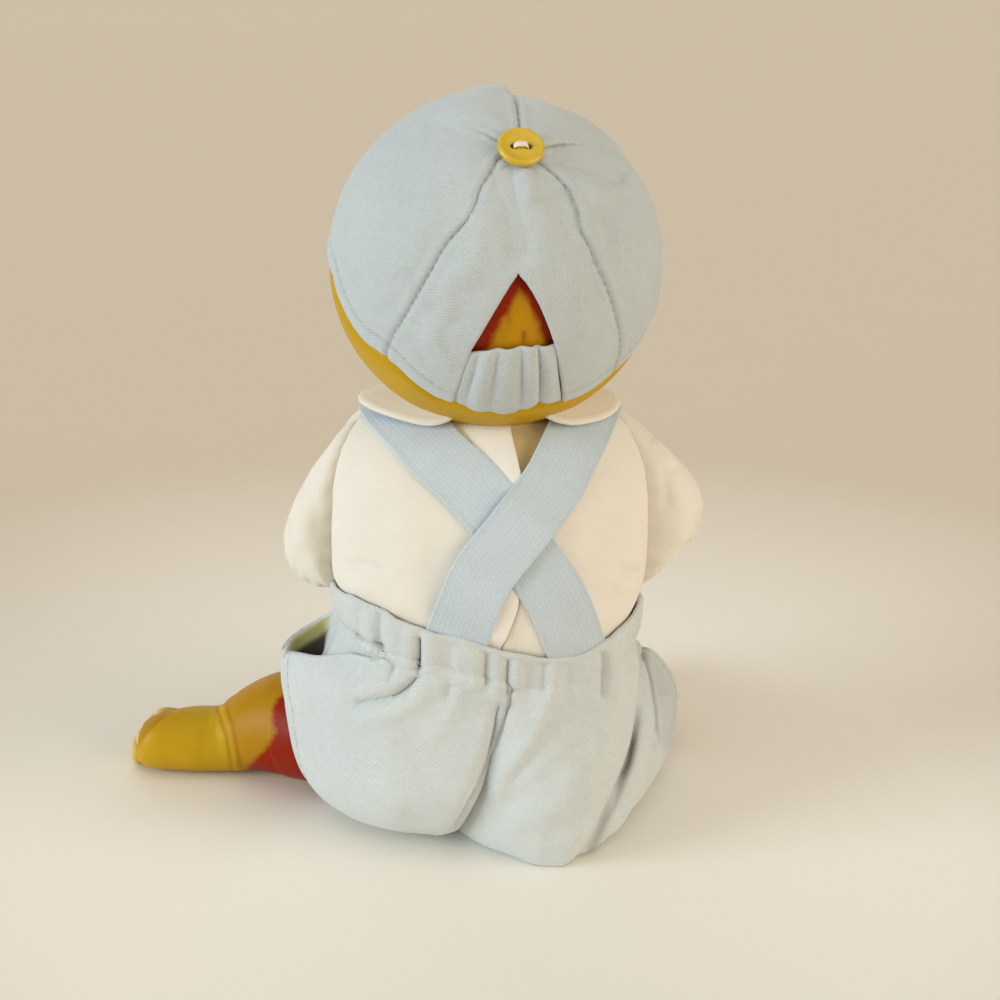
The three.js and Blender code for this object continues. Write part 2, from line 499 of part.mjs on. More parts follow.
// ------------------------------------------------------------------ the arms
for (const [side, s] of [['left', 1], ['right', -1]]) {
  const m = (x, y, z) => V3(s * x, y, z);
  const dir = V3(s * FOREARM_DIR.x, FOREARM_DIR.y, FOREARM_DIR.z);
  const elbow = m(ELBOW.x, ELBOW.y, ELBOW.z);
  const along = (k, dx = 0, dz = 0) => elbow.clone().addScaledVector(dir, k).add(V3(s * dx, 0, dz));
  const R = 5.2;
  const arm = limb([
    [m(55.4, 5, 134.5), 0, 0], [m(55.4, 5, 133.6), 4, 4], [m(55.4, 4.5, 129), 7.6, 7.6], [m(55.4, 3, 121), 8.4, 8.4],
    [m(55.4, 1, 111), 8.2, 8.2], [m(55.6, 0, 104), 7.6, 7.6], [m(55.7, 0, 100), 5, 5], [m(55.8, 0, 99), 0, 0],
  ], 10)
    .add(turned([[0, 0], [7, 0], [7, 22], [0, 22]], 12, m(34.4, SHOULDER.y, SHOULDER.z), V3(s, 0, 0)))
    .add(turned(casingProfile(R), 12, elbow, dir))
    .subtract(turned(socketProfile(R), 12, elbow, dir));
  add(`${side}_upper_arm`, arm, CLOTH_SKIN, 0.9);
  add(`${side}_arm_tie`, turned(tieProfile(R), 12, elbow, dir), WHITE, 0.5);

  // puffed sleeve, open at the armhole and at the front hem
  const puff = (d) => {
    const g = new THREE.SphereGeometry(1, 16, 10);
    g.rotateX(Math.PI / 2);
    const p = g.getAttribute('position');
    for (let i = 0; i < p.count; i++) {
      const v = V3(p.getX(i), p.getY(i), p.getZ(i));
      const k = 1 / Math.pow(Math.pow(Math.abs(v.x), 3) + Math.pow(Math.abs(v.y), 3) + Math.pow(Math.abs(v.z), 3), 1 / 3);
      p.setXYZ(i, s * (50 + v.x * k * (17.6 - d)), 1 + v.y * k * (26 - d), 110 + v.z * k * (30 - d));
    }
    return solid(g);
  };
  const hem = box(-60, 60, -60, 0, -60, 60);
  hem.applyQuaternion(new THREE.Quaternion().setFromUnitVectors(V3(0, -1, 0), V3(0, -0.8, -0.6)));
  hem.translate(s * 55, -9.5, 94);
  const keep = s > 0 ? box(ARMHOLE_X + 0.35, 100, -80, 80, 40, 180) : box(-100, -ARMHOLE_X - 0.35, -80, 80, 40, 180);
  add(`${side}_sleeve`, puff(0).subtract(puff(1.5)).intersect(solid(keep)).subtract(solid(hem)), CREAM);

  // vinyl forearm, mitten palm, four fingers and a thumb
  let fore = limb([
    [along(0.4), 0, 0], [along(0.5), 5, 5], [along(3), 7.4, 7.4], [along(9), 8.6, 8.6], [along(17), 8.4, 8.4], [along(26), 7, 6.8],
    [along(32), 6, 5.6], [along(36), 6.6, 5.4], [along(42), 8.4, 5.4], [along(47), 8.6, 5], [along(50.5), 6.5, 3.6], [along(51.5), 0, 0],
  ], 10).add(turned(stubProfile(R), 12, elbow, dir));
  for (let k = 0; k < 4; k++) fore = fore.add(limb([
    [along(44, -5.4 + 3.6 * k), 0, 0], [along(46, -5.4 + 3.6 * k), 1.9, 2.2], [along(51, -5.5 + 3.7 * k, -0.8), 1.9, 2.1],
    [along(54.6 - 0.7 * Math.abs(k - 1.4), -5.5 + 3.7 * k, -2), 1.5, 1.6], [along(55.8 - 0.7 * Math.abs(k - 1.4), -5.5 + 3.7 * k, -2.4), 0, 0],
  ], 6));
  fore = fore.add(limb([[along(36, -4), 0, 0], [along(38, -6), 2.3, 2.3], [along(43, -9.6, -0.6), 2.2, 2.2], [along(46, -10.4, -1), 1.6, 1.6], [along(47, -10.6, -1.2), 0, 0]], 6));
  add(`${side}_forearm`, fore, SKIN, 0.4);
}

// ------------------------------------------------------------------ the legs
for (const [side, s, splay, bend] of [['left', 1, LEFT_SPLAY, 1], ['right', -1, RIGHT_SPLAY, -1]]) {
  const h = s > 0 ? HIP : mirrorX(HIP);
  const d = thighDir(s, splay), n = thighOut(s, splay);
  const P = (u, v, w) => h.clone().addScaledVector(d, u).addScaledVector(n, v * bend).add(V3(0, 0, w));
  const S = (u, v, w, a, b) => [P(u, v, w), a, b];
  const knee = P(KNEE_U, 0, -KNEE_DROP);
  const R = 11;
  const thigh = limb([
    S(-25.4, 0, 0, 0, 0), S(-23, 0, 0, 10, 10), S(-17, 0, 0, 18.4, 18.4), S(-8, 0, 0, 23.8, 23.8), S(2, 0, 0, 24.8, 24.8),
    S(10, 0, -2, 22.5, 22.5), S(16, 0, -5.5, 18, 18), S(20, 0, -8.5, 14.5, 14.5), S(22, 0, -9.5, 8, 8), S(22.4, 0, -9.6, 0, 0),
  ], 12)
    .add(turned(casingProfile(R), 14, knee, d))
    .subtract(turned(socketProfile(R), 14, knee, d));
  add(`${side}_thigh`, thigh, CLOTH_SKIN, 0.9);
  add(`${side}_leg_tie`, turned(tieProfile(R), 14, knee, d), WHITE, 0.5);

  const legRows = (t) => {
    const rows = [S(-HIP_R + t, 0, 0, 0, 0)];
    for (const k of [25, 50, 72]) rows.push(S(-(HIP_R - t) * Math.cos(rad(k)), 0, 0, (HIP_R - t) * Math.sin(rad(k)), (HIP_R - t) * Math.sin(rad(k))));
    rows.push(S(0, 0, 0, HIP_R - t, HIP_R - t), S(11, 0, -0.6, 27.6 - t, 27.8 - t), S(23, 0, -1.4, 26.8 - t, 27.6 - t), S(34, 0, -1.9, 26.2 - t, 27.6 - t));
    rows.push(S(HEM_U, 0, -2.3, 26 - t, 27.6 - t));
    if (t > 0) rows.push(S(HEM_U + 3, 0, -2.3, 26 - t, 27.6 - t), S(HEM_U + 3, 0, -2.3, 0, 0));
    else rows.push(S(HEM_U, 0, -2.3, 0, 0));
    return rows;
  };
  add(`${side}_pants_leg`, limb(legRows(0), 18).subtract(limb(legRows(PANTS_T), 14)), BLUE);

  // vinyl lower leg with a chubby calf, ankle crease, foot and toes
  let leg = limb([
    S(36.5, 0, -10, 0, 0), S(36.6, 0, -10, 9, 9), S(38.2, 0, -10, 13, 13), S(40.5, 0, -10, 14.2, 14.2), S(45, 0.6, -10.7, 14.9, 14.9),
    S(50, 2, -12.4, 16, 16.4), S(55, 4, -14, 15.6, 16), S(60, 6, -16.2, 13.4, 13.8), S(64, 7.8, -18.2, 11.6, 11.8), S(68, 9.6, -19.2, 10.6, 10.8),
    S(73, 12.1, -19.2, 11.6, 11), S(80, 15.5, -19.3, 12.2, 10.8), S(87, 18.9, -19.3, 12, 10.6), S(92, 21.4, -19.6, 10.4, 9.8),
    S(95.4, 23, -19.9, 7, 7), S(96.4, 23.5, -20, 0, 0),
  ], 12).add(turned(stubProfile(R), 14, knee, d));
  const toes = [[-25.2, 4.4, 98.6], [-19.8, 3.2, 99.2], [-15.6, 2.9, 98.2], [-12.2, 2.6, 96.6], [-9.6, 2.3, 94.6]];
  for (const [w, r, u] of toes) leg = leg.add(limb([
    S(u - 8, (u - 96) * 0.5 + 20, w, 0, 0), S(u - 6.6, (u - 96) * 0.5 + 20.6, w, r * 0.8, r * 0.8), S(u - 2.6, (u - 96) * 0.5 + 22.4, w, r, r),
    S(u + 0.4, (u - 96) * 0.5 + 23.8, w, r * 0.75, r * 0.75), S(u + 1.6, (u - 96) * 0.5 + 24.4, w, 0, 0),
  ], 6));
  add(`${side}_lower_leg`, leg, SKIN, 0.4);
}

export default group;
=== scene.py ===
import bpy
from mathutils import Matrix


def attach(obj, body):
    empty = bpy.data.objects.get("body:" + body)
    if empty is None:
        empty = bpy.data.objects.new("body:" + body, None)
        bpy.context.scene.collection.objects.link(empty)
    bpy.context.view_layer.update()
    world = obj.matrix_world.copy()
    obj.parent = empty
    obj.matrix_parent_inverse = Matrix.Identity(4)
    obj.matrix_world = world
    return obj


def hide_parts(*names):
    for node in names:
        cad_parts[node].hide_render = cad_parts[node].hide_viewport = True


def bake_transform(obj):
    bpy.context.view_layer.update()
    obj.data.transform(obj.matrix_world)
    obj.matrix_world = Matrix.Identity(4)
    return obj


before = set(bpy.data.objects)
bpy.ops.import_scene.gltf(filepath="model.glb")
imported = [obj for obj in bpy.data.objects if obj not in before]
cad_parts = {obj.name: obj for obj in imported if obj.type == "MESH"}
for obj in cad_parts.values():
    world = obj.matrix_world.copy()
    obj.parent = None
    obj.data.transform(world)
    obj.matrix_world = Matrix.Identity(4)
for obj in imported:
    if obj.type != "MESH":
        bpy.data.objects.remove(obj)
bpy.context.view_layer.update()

# Seated baby doll seen from behind: cap, collared shirt, crossed elastic
# suspenders, gathered trousers, vinyl head, hands and feet.
# All tables are in millimetres; meshes are made in metres.
import math

import bpy
import numpy as np
from mathutils import Matrix, Vector

scene = bpy.context.scene
rad = math.radians
V = lambda *a: np.array(a, float)


def unit(a):
    a = np.asarray(a, float)
    return a / np.maximum(np.linalg.norm(a, axis=-1, keepdims=True), 1e-9)


def ramp(x, a, b):
    t = np.clip((np.asarray(x, float) - a) / (b - a), 0, 1)
    return t * t * (3 - 2 * t)


def smooth(x, xp, fp):
    """Table lookup with monotone cubic pieces; fp may have several columns."""
    xp, fp = np.asarray(xp, float), np.asarray(fp, float)
    if fp.ndim == 2:
        return np.stack([smooth(x, xp, fp[:, k]) for k in range(fp.shape[1])], -1)
    x = np.asarray(x, float)
    d = np.diff(fp) / np.diff(xp)
    s = d[:-1] + d[1:]
    m = np.where(d[:-1] * d[1:] > 0, 2 * d[:-1] * d[1:] / np.where(s == 0, 1, s), 0)
    m = np.concatenate([[d[0]], m, [d[-1]]])
    i = np.clip(np.searchsorted(xp, x) - 1, 0, len(xp) - 2)
    h = xp[i + 1] - xp[i]
    t = np.clip((x - xp[i]) / h, 0, 1)
    return ((2 * t**3 - 3 * t**2 + 1) * fp[i] + (t**3 - 2 * t**2 + t) * h * m[i]
            + (3 * t**2 - 2 * t**3) * fp[i + 1] + (t**3 - t**2) * h * m[i + 1])


def lumps(P, size, seed=0):
    """Smooth value noise from -1 to 1, for uneven cloth."""
    q = np.asarray(P, float) / size + 3.17 * seed + 50.0
    i = np.floor(q).astype(np.int64)
    f = q - i
    f = f * f * (3 - 2 * f)

    def at(a, b, c):
        n = ((i[..., 0] + a) * 73856093) ^ ((i[..., 1] + b) * 19349663) ^ ((i[..., 2] + c) * 83492791) ^ (seed * 97531)
        n = (n * 1103515245 + 12345) & 0x7FFFFFFF
        n = ((n ^ (n >> 13)) * 60493 + 19990303) & 0x7FFFFFFF
        return (n & 0xFFFF) / 32767.5 - 1

    x, y, z = f[..., 0], f[..., 1], f[..., 2]
    mix = lambda a, b, t: a + (b - a) * t
    return mix(mix(mix(at(0, 0, 0), at(1, 0, 0), x), mix(at(0, 1, 0), at(1, 1, 0), x), y),
               mix(mix(at(0, 0, 1), at(1, 0, 1), x), mix(at(0, 1, 1), at(1, 1, 1), x), y), z)


# ------------------------------------------------------------------ the camera
AZ, EL, DIST, FOCAL = rad(178), rad(20), 650.0, 2000.0
TARGET = V(-3.77, 0, 111.61)
BACK = V(math.sin(AZ) * math.cos(EL), -math.cos(AZ) * math.cos(EL), math.sin(EL))
EYE = TARGET + DIST * BACK
RIGHT = unit(np.cross(-BACK, V(0, 0, 1)))
UP = np.cross(RIGHT, -BACK)


def pixel(P):
    d = np.asarray(P, float) - EYE
    z = d @ -BACK
    return 500 + FOCAL * (d @ RIGHT) / z, 500 - FOCAL * (d @ UP) / z


def sight(x, y):
    return unit(-BACK * FOCAL + RIGHT * (x - 500) - UP * (y - 500))


# --------------------------------------------------------------- mesh builders
def normals(P, wrap=False):
    du = np.gradient(P, axis=0)
    if wrap:
        Q = np.concatenate([P[:, -1:], P, P[:, :1]], 1)
        dv = (Q[:, 2:] - Q[:, :-2]) / 2
    else:
        dv = np.gradient(P, axis=1)
    n = np.cross(du, dv)
    short = np.linalg.norm(n, axis=-1) < 1e-6
    n = unit(n)
    if short.any():  # rows shrunk to a pole take the mean of the next row
        for i in range(P.shape[0]):
            if short[i].any():
                k = i + 1 if i + 1 < P.shape[0] and not short[min(i + 1, P.shape[0] - 1)].any() else i - 1
                n[i] = unit(n[k].mean(0))
    return n


def steps(n, edge=0.0):
    """0..1 in n steps with four extra rows inside each rounded edge."""
    t = np.linspace(0, 1, n + 1)
    if edge:
        a = edge * V(0, 0.06, 0.22, 0.5, 1.0)
        t = np.concatenate([a, edge + (1 - 2 * edge) * t[1:-1], 1 - a[::-1]])
    return t


def stroke(x, y, line):
    """Distance from the pixels to a line and how far along it, 0..1."""
    line = np.asarray(line, float)
    best = np.full(np.shape(x), 1e9)
    along = np.zeros(np.shape(x))
    seg = np.diff(line, axis=0)
    L = np.linalg.norm(seg, axis=1)
    acc = np.concatenate([[0], np.cumsum(L)])
    for k in range(len(seg)):
        t = np.clip(((x - line[k, 0]) * seg[k, 0] + (y - line[k, 1]) * seg[k, 1]) / max(L[k] ** 2, 1e-9), 0, 1)
        d = np.hypot(x - line[k, 0] - t * seg[k, 0], y - line[k, 1] - t * seg[k, 1])
        near = d < best
        best = np.where(near, d, best)
        along = np.where(near, (acc[k] + t * L[k]) / acc[-1], along)
    return best, along


def sculpt(P, marks, wrap=False, out=1):
    """Folds and creases: each mark is (line in the view, millimetres, half width, taper)."""
    N = normals(P, wrap) * out
    x, y = pixel(P)
    face = ramp(np.sum(N * unit(EYE - P), -1), 0.02, 0.3)
    move = np.zeros(P.shape[:2])
    for line, amp, width, *taper in marks:
        d, s = stroke(x, y, line)
        k = taper[0] if taper else 0.18
        move += amp * np.exp(-((d / width) ** 2)) * ramp(s, -0.02, k) * ramp(1 - s, -0.02, k)
    return P + N * (move * face)[..., None]


def make(name, verts, faces, uvs=None, attrs=None, tint=None, flat=False):
    verts = np.asarray(verts, float)
    used = np.zeros(len(verts), bool)
    for f in faces:
        used[list(f)] = True
    back = np.cumsum(used) - 1
    faces2, keep = [], []
    for k, f in enumerate(faces):
        g = []
        for v in f:
            if not g or back[v] != g[-1]:
                g.append(int(back[v]))
        if len(g) > 2 and g[0] == g[-1]:
            g.pop()
        if len(set(g)) > 2 and len(g) == len(f):
            faces2.append(g)
            keep.append(k)
    me = bpy.data.meshes.new(name)
    me.from_pydata((verts[used] * 0.001).tolist(), [], faces2)
    if uvs is not None:
        layer = me.uv_layers.new(name="UVMap")
        flatuv = [c for k in keep for q in uvs[k] for c in q]
        layer.data.foreach_set("uv", np.asarray(flatuv, np.float32))
    for key, val in (attrs or {}).items():
        a = me.attributes.new(key, "FLOAT", "POINT")
        a.data.foreach_set("value", np.asarray(val, np.float32)[used])
    if tint is not None:
        a = me.attributes.new("tint", "FLOAT_COLOR", "POINT")
        a.data.foreach_set("color", np.asarray(tint, np.float32)[used].ravel())
    me.polygons.foreach_set("use_smooth", np.full(len(me.polygons), not flat))
    me.update()
    ob = bpy.data.objects.new(name, me)
    scene.collection.objects.link(ob)
    return ob


def lengths(P, wrap):
    lu = np.concatenate([np.zeros((1, P.shape[1])), np.cumsum(np.linalg.norm(np.diff(P, axis=0), axis=-1), 0)], 0)
    Q = np.concatenate([P, P[:, :1]], 1) if wrap else P
    lv = np.concatenate([np.zeros((P.shape[0], 1)), np.cumsum(np.linalg.norm(np.diff(Q, axis=1), axis=-1), 1)], 1)
    return lu, lv


def quads(nu, nv, wrap):
    i, j = np.meshgrid(np.arange(nu - 1), np.arange(nv if wrap else nv - 1), indexing="ij")
    return i.ravel(), j.ravel()


def slab(name, mid, t, wrap=False, edges=(1, 1, 1, 1), out=1, attrs=None, tint=None, split=None, zipped=None):
    """A sheet of thickness t about a grid of points, its free edges rounded.
    edges: start and end of the rows, start and end of the columns. split marks
    faces left out; zipped marks rows whose first and last columns are sewn together."""
    nu, nv = mid.shape[:2]
    N = normals(mid, wrap) * out
    if zipped is not None:
        mean = unit(N[zipped, 0] + N[zipped, -1])
        N[zipped, 0], N[zipped, -1] = mean, mean
    lu, lv = lengths(mid, wrap)
    gap = np.full((nu, nv), 1e9)
    if edges[0]:
        gap = np.minimum(gap, lu)
    if edges[1]:
        gap = np.minimum(gap, lu[-1:] - lu)
    if not wrap:
        if edges[2]:
            gap = np.minimum(gap, lv)
        if edges[3]:
            gap = np.minimum(gap, lv[:, -1:] - lv)
    if zipped is not None:
        gap[zipped] = 1e9
    thick = t if np.ndim(t) else np.full((nu, nv), float(t))
    k = np.clip(gap / (0.55 * thick), 0, 1)
    h = thick / 2 * np.sqrt(1 - (1 - k) ** 2)
    outer, inner = mid + N * h[..., None], mid - N * h[..., None]
    io = np.arange(nu * nv).reshape(nu, nv)
    ii = np.where(gap <= 1e-9, io, io + nu * nv)
    if zipped is not None:
        io[zipped, -1], ii[zipped, -1] = io[zipped, 0], ii[zipped, 0]
    uu, vv = lu.mean(1), lv.mean(0)
    faces, uvs = [], []
    I, J = quads(nu, nv, wrap)
    for i, j in zip(I, J):
        if split is not None and split[i, j]:
            continue
        j1 = (j + 1) % nv
        c = [(i, j), (i + 1, j), (i + 1, j1), (i, j1)]
        q = [(uu[i], vv[j]), (uu[i + 1], vv[j]), (uu[i + 1], vv[j + 1]), (uu[i], vv[j + 1])]
        if out < 0:
            c, q = c[::-1], q[::-1]
        faces.append([io[a] for a in c])
        uvs.append(q)
        faces.append([ii[a] for a in c[::-1]])
        uvs.append(q[::-1])
        if split is not None:  # close the edge where the next face is left out
            for a, b, di, dj in ((0, 1, 0, -1), (1, 2, 1, 0), (2, 3, 0, 1), (3, 0, -1, 0)):
                i2, j2 = i + di, (j + dj) % split.shape[1]
                if 0 <= i2 < nu - 1 and split[i2, j2]:
                    e = [(i, j), (i + 1, j), (i + 1, j1), (i, j1)]
                    w = [io[e[b]], io[e[a]], ii[e[a]], ii[e[b]]]
                    faces.append(w if out > 0 else w[::-1])
                    uvs.append([(uu[i], vv[j])] * 4)
    both = lambda a: np.concatenate([np.asarray(a, float).ravel()] * 2)
    at = {k2: np.concatenate([v2[0].ravel(), v2[1].ravel()]) if isinstance(v2, tuple) else both(v2) for k2, v2 in (attrs or {}).items()}
    ti = None if tint is None else np.concatenate([tint.reshape(-1, 4)] * 2)
    return make(name, np.concatenate([outer.reshape(-1, 3), inner.reshape(-1, 3)]), faces, uvs, at, ti)


def skin(name, P, wrap=True, out=1, attrs=None, tint=None):
    """A closed body from rows of points; first and last rows may be poles."""
    nu, nv = P.shape[:2]
    lu, lv = lengths(P, wrap)
    uu, vv = lu.mean(1), lv.max(0)
    idx = np.arange(nu * nv).reshape(nu, nv)
    for r in (0, nu - 1):
        if np.ptp(P[r], axis=0).max() < 1e-6:
            idx[r, :] = idx[r, 0]
    faces, uvs = [], []
    I, J = quads(nu, nv, wrap)
    for i, j in zip(I, J):
        j1 = (j + 1) % nv
        c = [idx[i, j], idx[i + 1, j], idx[i + 1, j1], idx[i, j1]]
        q = [(uu[i], vv[j]), (uu[i + 1], vv[j]), (uu[i + 1], vv[j + 1] if wrap else vv[j1]), (uu[i], vv[j + 1] if wrap else vv[j1])]
        if c[0] == c[3]:
            c, q = [c[0], c[1], c[2]], [q[0], q[1], q[2]]
        elif c[1] == c[2]:
            c, q = [c[0], c[1], c[3]], [q[0], q[1], q[3]]
        if out < 0:
            c, q = c[::-1], q[::-1]
        faces.append(c)
        uvs.append(q)
    at = {k2: np.asarray(v2, float).ravel() for k2, v2 in (attrs or {}).items()}
    return make(name, P.reshape(-1, 3), faces, uvs, at, None if tint is None else tint.reshape(-1, 4))


def join(name, obs):
    """One object from several meshes that share a material."""
    dg = bpy.context.evaluated_depsgraph_get()
    with bpy.context.temp_override(active_object=obs[0], selected_objects=obs, selected_editable_objects=obs, object=obs[0]):
        bpy.ops.object.join()
    obs[0].name = name
    obs[0].data.name = name
    return obs[0]


def limb(sections, nu, nv, shape=None):
    """Rows round a limb: sections are (x, y, z, half width, half height)."""
    S = np.asarray(sections, float)
    L = np.concatenate([[0], np.cumsum(np.maximum(np.linalg.norm(np.diff(S[:, :3], axis=0), axis=1), 1e-3))])
    t = np.linspace(0, L[-1], nu)
    Q = smooth(t, L, S)
    C = Q[:, :3]
    T = unit(np.gradient(smooth(t, L, S[:, :3]), axis=0))
    side = unit(np.cross(V(0, 0, 1), T))
    up = np.cross(T, side)
    f = np.linspace(0, 2 * np.pi, nv, endpoint=False)
    P = (C[:, None] + side[:, None] * (Q[:, 3:4] * np.cos(f))[..., None] + up[:, None] * (Q[:, 4:5] * np.sin(f))[..., None])
    return P


def turned(profile, seg, o, axis):
    """A profile (radius, height) turned about an axis through o."""
    axis = unit(axis)
    a = unit(np.cross(axis, V(1, 0, 0) if abs(axis[0]) < 0.9 else V(0, 1, 0)))
    b = np.cross(axis, a)
    f = np.linspace(0, 2 * np.pi, seg, endpoint=False)
    pr = np.asarray(profile, float)
    ring = np.cos(f)[:, None] * a + np.sin(f)[:, None] * b
    return np.asarray(o, float) + pr[:, 0, None, None] * ring + pr[:, 1, None, None] * axis


def stitches(name, path, nrm, length=2.2, gap=1.4, r=0.28, lift=0.12):
    """A row of short thread stitches along a path lying on a surface."""
    path, nrm = np.asarray(path, float), unit(nrm)
    L = np.concatenate([[0], np.cumsum(np.linalg.norm(np.diff(path, axis=0), axis=1))])
    verts, faces = [], []
    s = gap
    while s + length < L[-1]:
        mid = V(*[np.interp(s + length / 2, L, path[:, k]) for k in range(3)])
        a = V(*[np.interp(s, L, path[:, k]) for k in range(3)])
        b = V(*[np.interp(s + length, L, path[:, k]) for k in range(3)])
        n = unit(V(*[np.interp(s + length / 2, L, nrm[:, k]) for k in range(3)]))
        d = unit(b - a)
        w = np.cross(n, d)
        base = len(verts)
        for t, q in ((-0.5, 0.35), (-0.32, 0.9), (0, 1.0), (0.32, 0.9), (0.5, 0.35)):
            sink = -0.35 * (2 * t) ** 4
            for k in range(6):
                f = k * math.pi / 3
                verts.append(mid + d * t * length + n * (lift + sink + r * q * math.sin(f)) + w * r * 1.25 * q * math.cos(f))
        for i in range(4):
            for k in range(6):
                faces.append([base + i * 6 + k, base + i * 6 + (k + 1) % 6, base + i * 6 + 6 + (k + 1) % 6, base + i * 6 + 6 + k])
        faces.append([base + k for k in range(5, -1, -1)])
        faces.append([base + 24 + k for k in range(6)])
        s += length + gap
    return make(name, verts, faces)


# ------------------------------------------------------------------- materials
def material(name, rough, **sockets):
    m = bpy.data.materials.new(name)
    m.use_nodes = True
    nt = m.node_tree
    bsdf = nt.nodes["Principled BSDF"]
    bsdf.inputs["Roughness"].default_value = rough
    for key, val in sockets.items():
        bsdf.inputs[key.replace("_", " ")].default_value = val
    return m, nt, bsdf


def node(nt, kind, **props):
    n = nt.nodes.new(kind)
    for k, v in props.items():
        if k in n.inputs:
            n.inputs[k].default_value = v
        else:
            setattr(n, k, v)
    return n


def calc(nt, op, a, b=None, c=None):
    n = nt.nodes.new("ShaderNodeMath")
    n.operation = op
    for i, v in enumerate((a, b, c)):
        if v is None:
            continue
        if isinstance(v, (int, float)):
            n.inputs[i].default_value = v
        else:
            nt.links.new(v, n.inputs[i])
    return n.outputs[0]


def blendrgb(nt, fac, a, b):
    n = nt.nodes.new("ShaderNodeMix")
    n.data_type = "RGBA"
    for sock, v in ((n.inputs["Factor"], fac), (n.inputs[6], a), (n.inputs[7], b)):
        if isinstance(v, (int, float)):
            sock.default_value = v
        elif isinstance(v, tuple):
            sock.default_value = (*v, 1.0)
        else:
            nt.links.new(v, sock)
    return n.outputs[2]


def grain(nt, size, detail=3.0, coords="Object", stretch=None):
    """Noise in millimetres, 0..1."""
    tc = nt.nodes.new("ShaderNodeTexCoord")
    mp = node(nt, "ShaderNodeMapping")
    mp.inputs["Scale"].default_value = stretch or (1, 1, 1)
    nt.links.new(tc.outputs[coords], mp.inputs["Vector"])
    n = node(nt, "ShaderNodeTexNoise", Scale=(1000.0 / size) if coords == "Object" else 1.0 / size, Detail=detail, Roughness=0.6)
    nt.links.new(mp.outputs["Vector"], n.inputs["Vector"])
    return n.outputs["Fac"]


def uv(nt):
    n = nt.nodes.new("ShaderNodeUVMap")
    n.uv_map = "UVMap"
    s = nt.nodes.new("ShaderNodeSeparateXYZ")
    nt.links.new(n.outputs["UV"], s.inputs[0])
    return s.outputs[0], s.outputs[1]


def wave(nt, x, period, shift=0.0):
    """sin of x over a period, 0..1."""
    s = calc(nt, "SINE", calc(nt, "MULTIPLY_ADD", x, 2 * math.pi / period, shift))
    return calc(nt, "MULTIPLY_ADD", s, 0.5, 0.5)


def attr(nt, name):
    n = nt.nodes.new("ShaderNodeAttribute")
    n.attribute_name = name
    return n


def bump(nt, bsdf, height, strength, distance):
    b = node(nt, "ShaderNodeBump", Strength=strength, Distance=distance)
    nt.links.new(height, b.inputs["Height"])
    nt.links.new(b.outputs["Normal"], bsdf.inputs["Normal"])
    return b


def twill(name, light, dark, worn):
    m, nt, bsdf = material(name, 0.9, Sheen_Weight=0.3, Sheen_Roughness=0.5, Specular_IOR_Level=0.16)
    u, v = uv(nt)
    wob = calc(nt, "MULTIPLY_ADD", grain(nt, 4.0, 2.0), 1.6, -0.8)
    rib = wave(nt, calc(nt, "ADD", calc(nt, "ADD", u, v), wob), 1.15)
    fuzz = grain(nt, 0.75, 5.0)
    nap = grain(nt, 2.6, 4.0)
    patch = grain(nt, 17.0, 3.0)
    seam_and_shade = attr(nt, "seam_and_shade").outputs["Fac"]
    height = calc(nt, "ADD", calc(nt, "MULTIPLY", rib, 0.30), calc(nt, "MULTIPLY_ADD", fuzz, 0.95, calc(nt, "MULTIPLY", nap, 0.45)))
    tone = calc(nt, "MULTIPLY_ADD", height, 0.85, calc(nt, "MULTIPLY_ADD", patch, 0.35, -0.52))
    col = blendrgb(nt, tone, dark, light)
    col = blendrgb(nt, calc(nt, "MULTIPLY", grain(nt, 42.0, 2.0), 0.4), col, worn)
    # painted reflection: yellow light from the vinyl on the pocket's inner face
    col = blendrgb(nt, calc(nt, "MULTIPLY", attr(nt, "stain_and_reflection").outputs["Fac"], 0.85), col, (0.42, 0.36, 0.08))
    # darker along seams, and painted shade in crease and gather valleys
    col = blendrgb(nt, calc(nt, "MULTIPLY", seam_and_shade, 0.6), col, tuple(c * 0.32 for c in dark))
    # painted shade: near black in the slit beside the seat and inside the pocket
    col = blendrgb(nt, calc(nt, "MULTIPLY", attr(nt, "deep").outputs["Fac"], 0.96), col, (0.03, 0.016, 0.008))
    nt.links.new(col, bsdf.inputs["Base Color"])
    nt.links.new(calc(nt, "MULTIPLY_ADD", fuzz, 0.14, 0.82), bsdf.inputs["Roughness"])
    bump(nt, bsdf, height, 0.55, 0.0004)
    return m


def ribbed(name, light, dark):
    m, nt, bsdf = material(name, 0.85, Sheen_Weight=0.25, Sheen_Roughness=0.5, Specular_IOR_Level=0.18)
    u, v = uv(nt)
    rib = wave(nt, calc(nt, "ADD", v, calc(nt, "MULTIPLY", grain(nt, 6.0, 3.0), 0.5)), 1.38)
    knit = wave(nt, u, 0.85)
    fuzz = grain(nt, 0.7, 5.0)
    patch = grain(nt, 14.0, 3.0)
    height = calc(nt, "ADD", calc(nt, "MULTIPLY", rib, 0.20), calc(nt, "MULTIPLY_ADD", knit, 0.1, calc(nt, "MULTIPLY", fuzz, 1.05)))
    tone = calc(nt, "MULTIPLY_ADD", height, 0.75, calc(nt, "MULTIPLY_ADD", patch, 0.35, -0.38))
    col = blendrgb(nt, tone, dark, light)
    col = blendrgb(nt, calc(nt, "MULTIPLY", attr(nt, "seam_and_shade").outputs["Fac"], 0.6), col, tuple(c * 0.4 for c in dark))
    nt.links.new(col, bsdf.inputs["Base Color"])
    nt.links.new(calc(nt, "MULTIPLY_ADD", fuzz, 0.16, 0.76), bsdf.inputs["Roughness"])
    bump(nt, bsdf, height, 0.5, 0.0004)
    return m


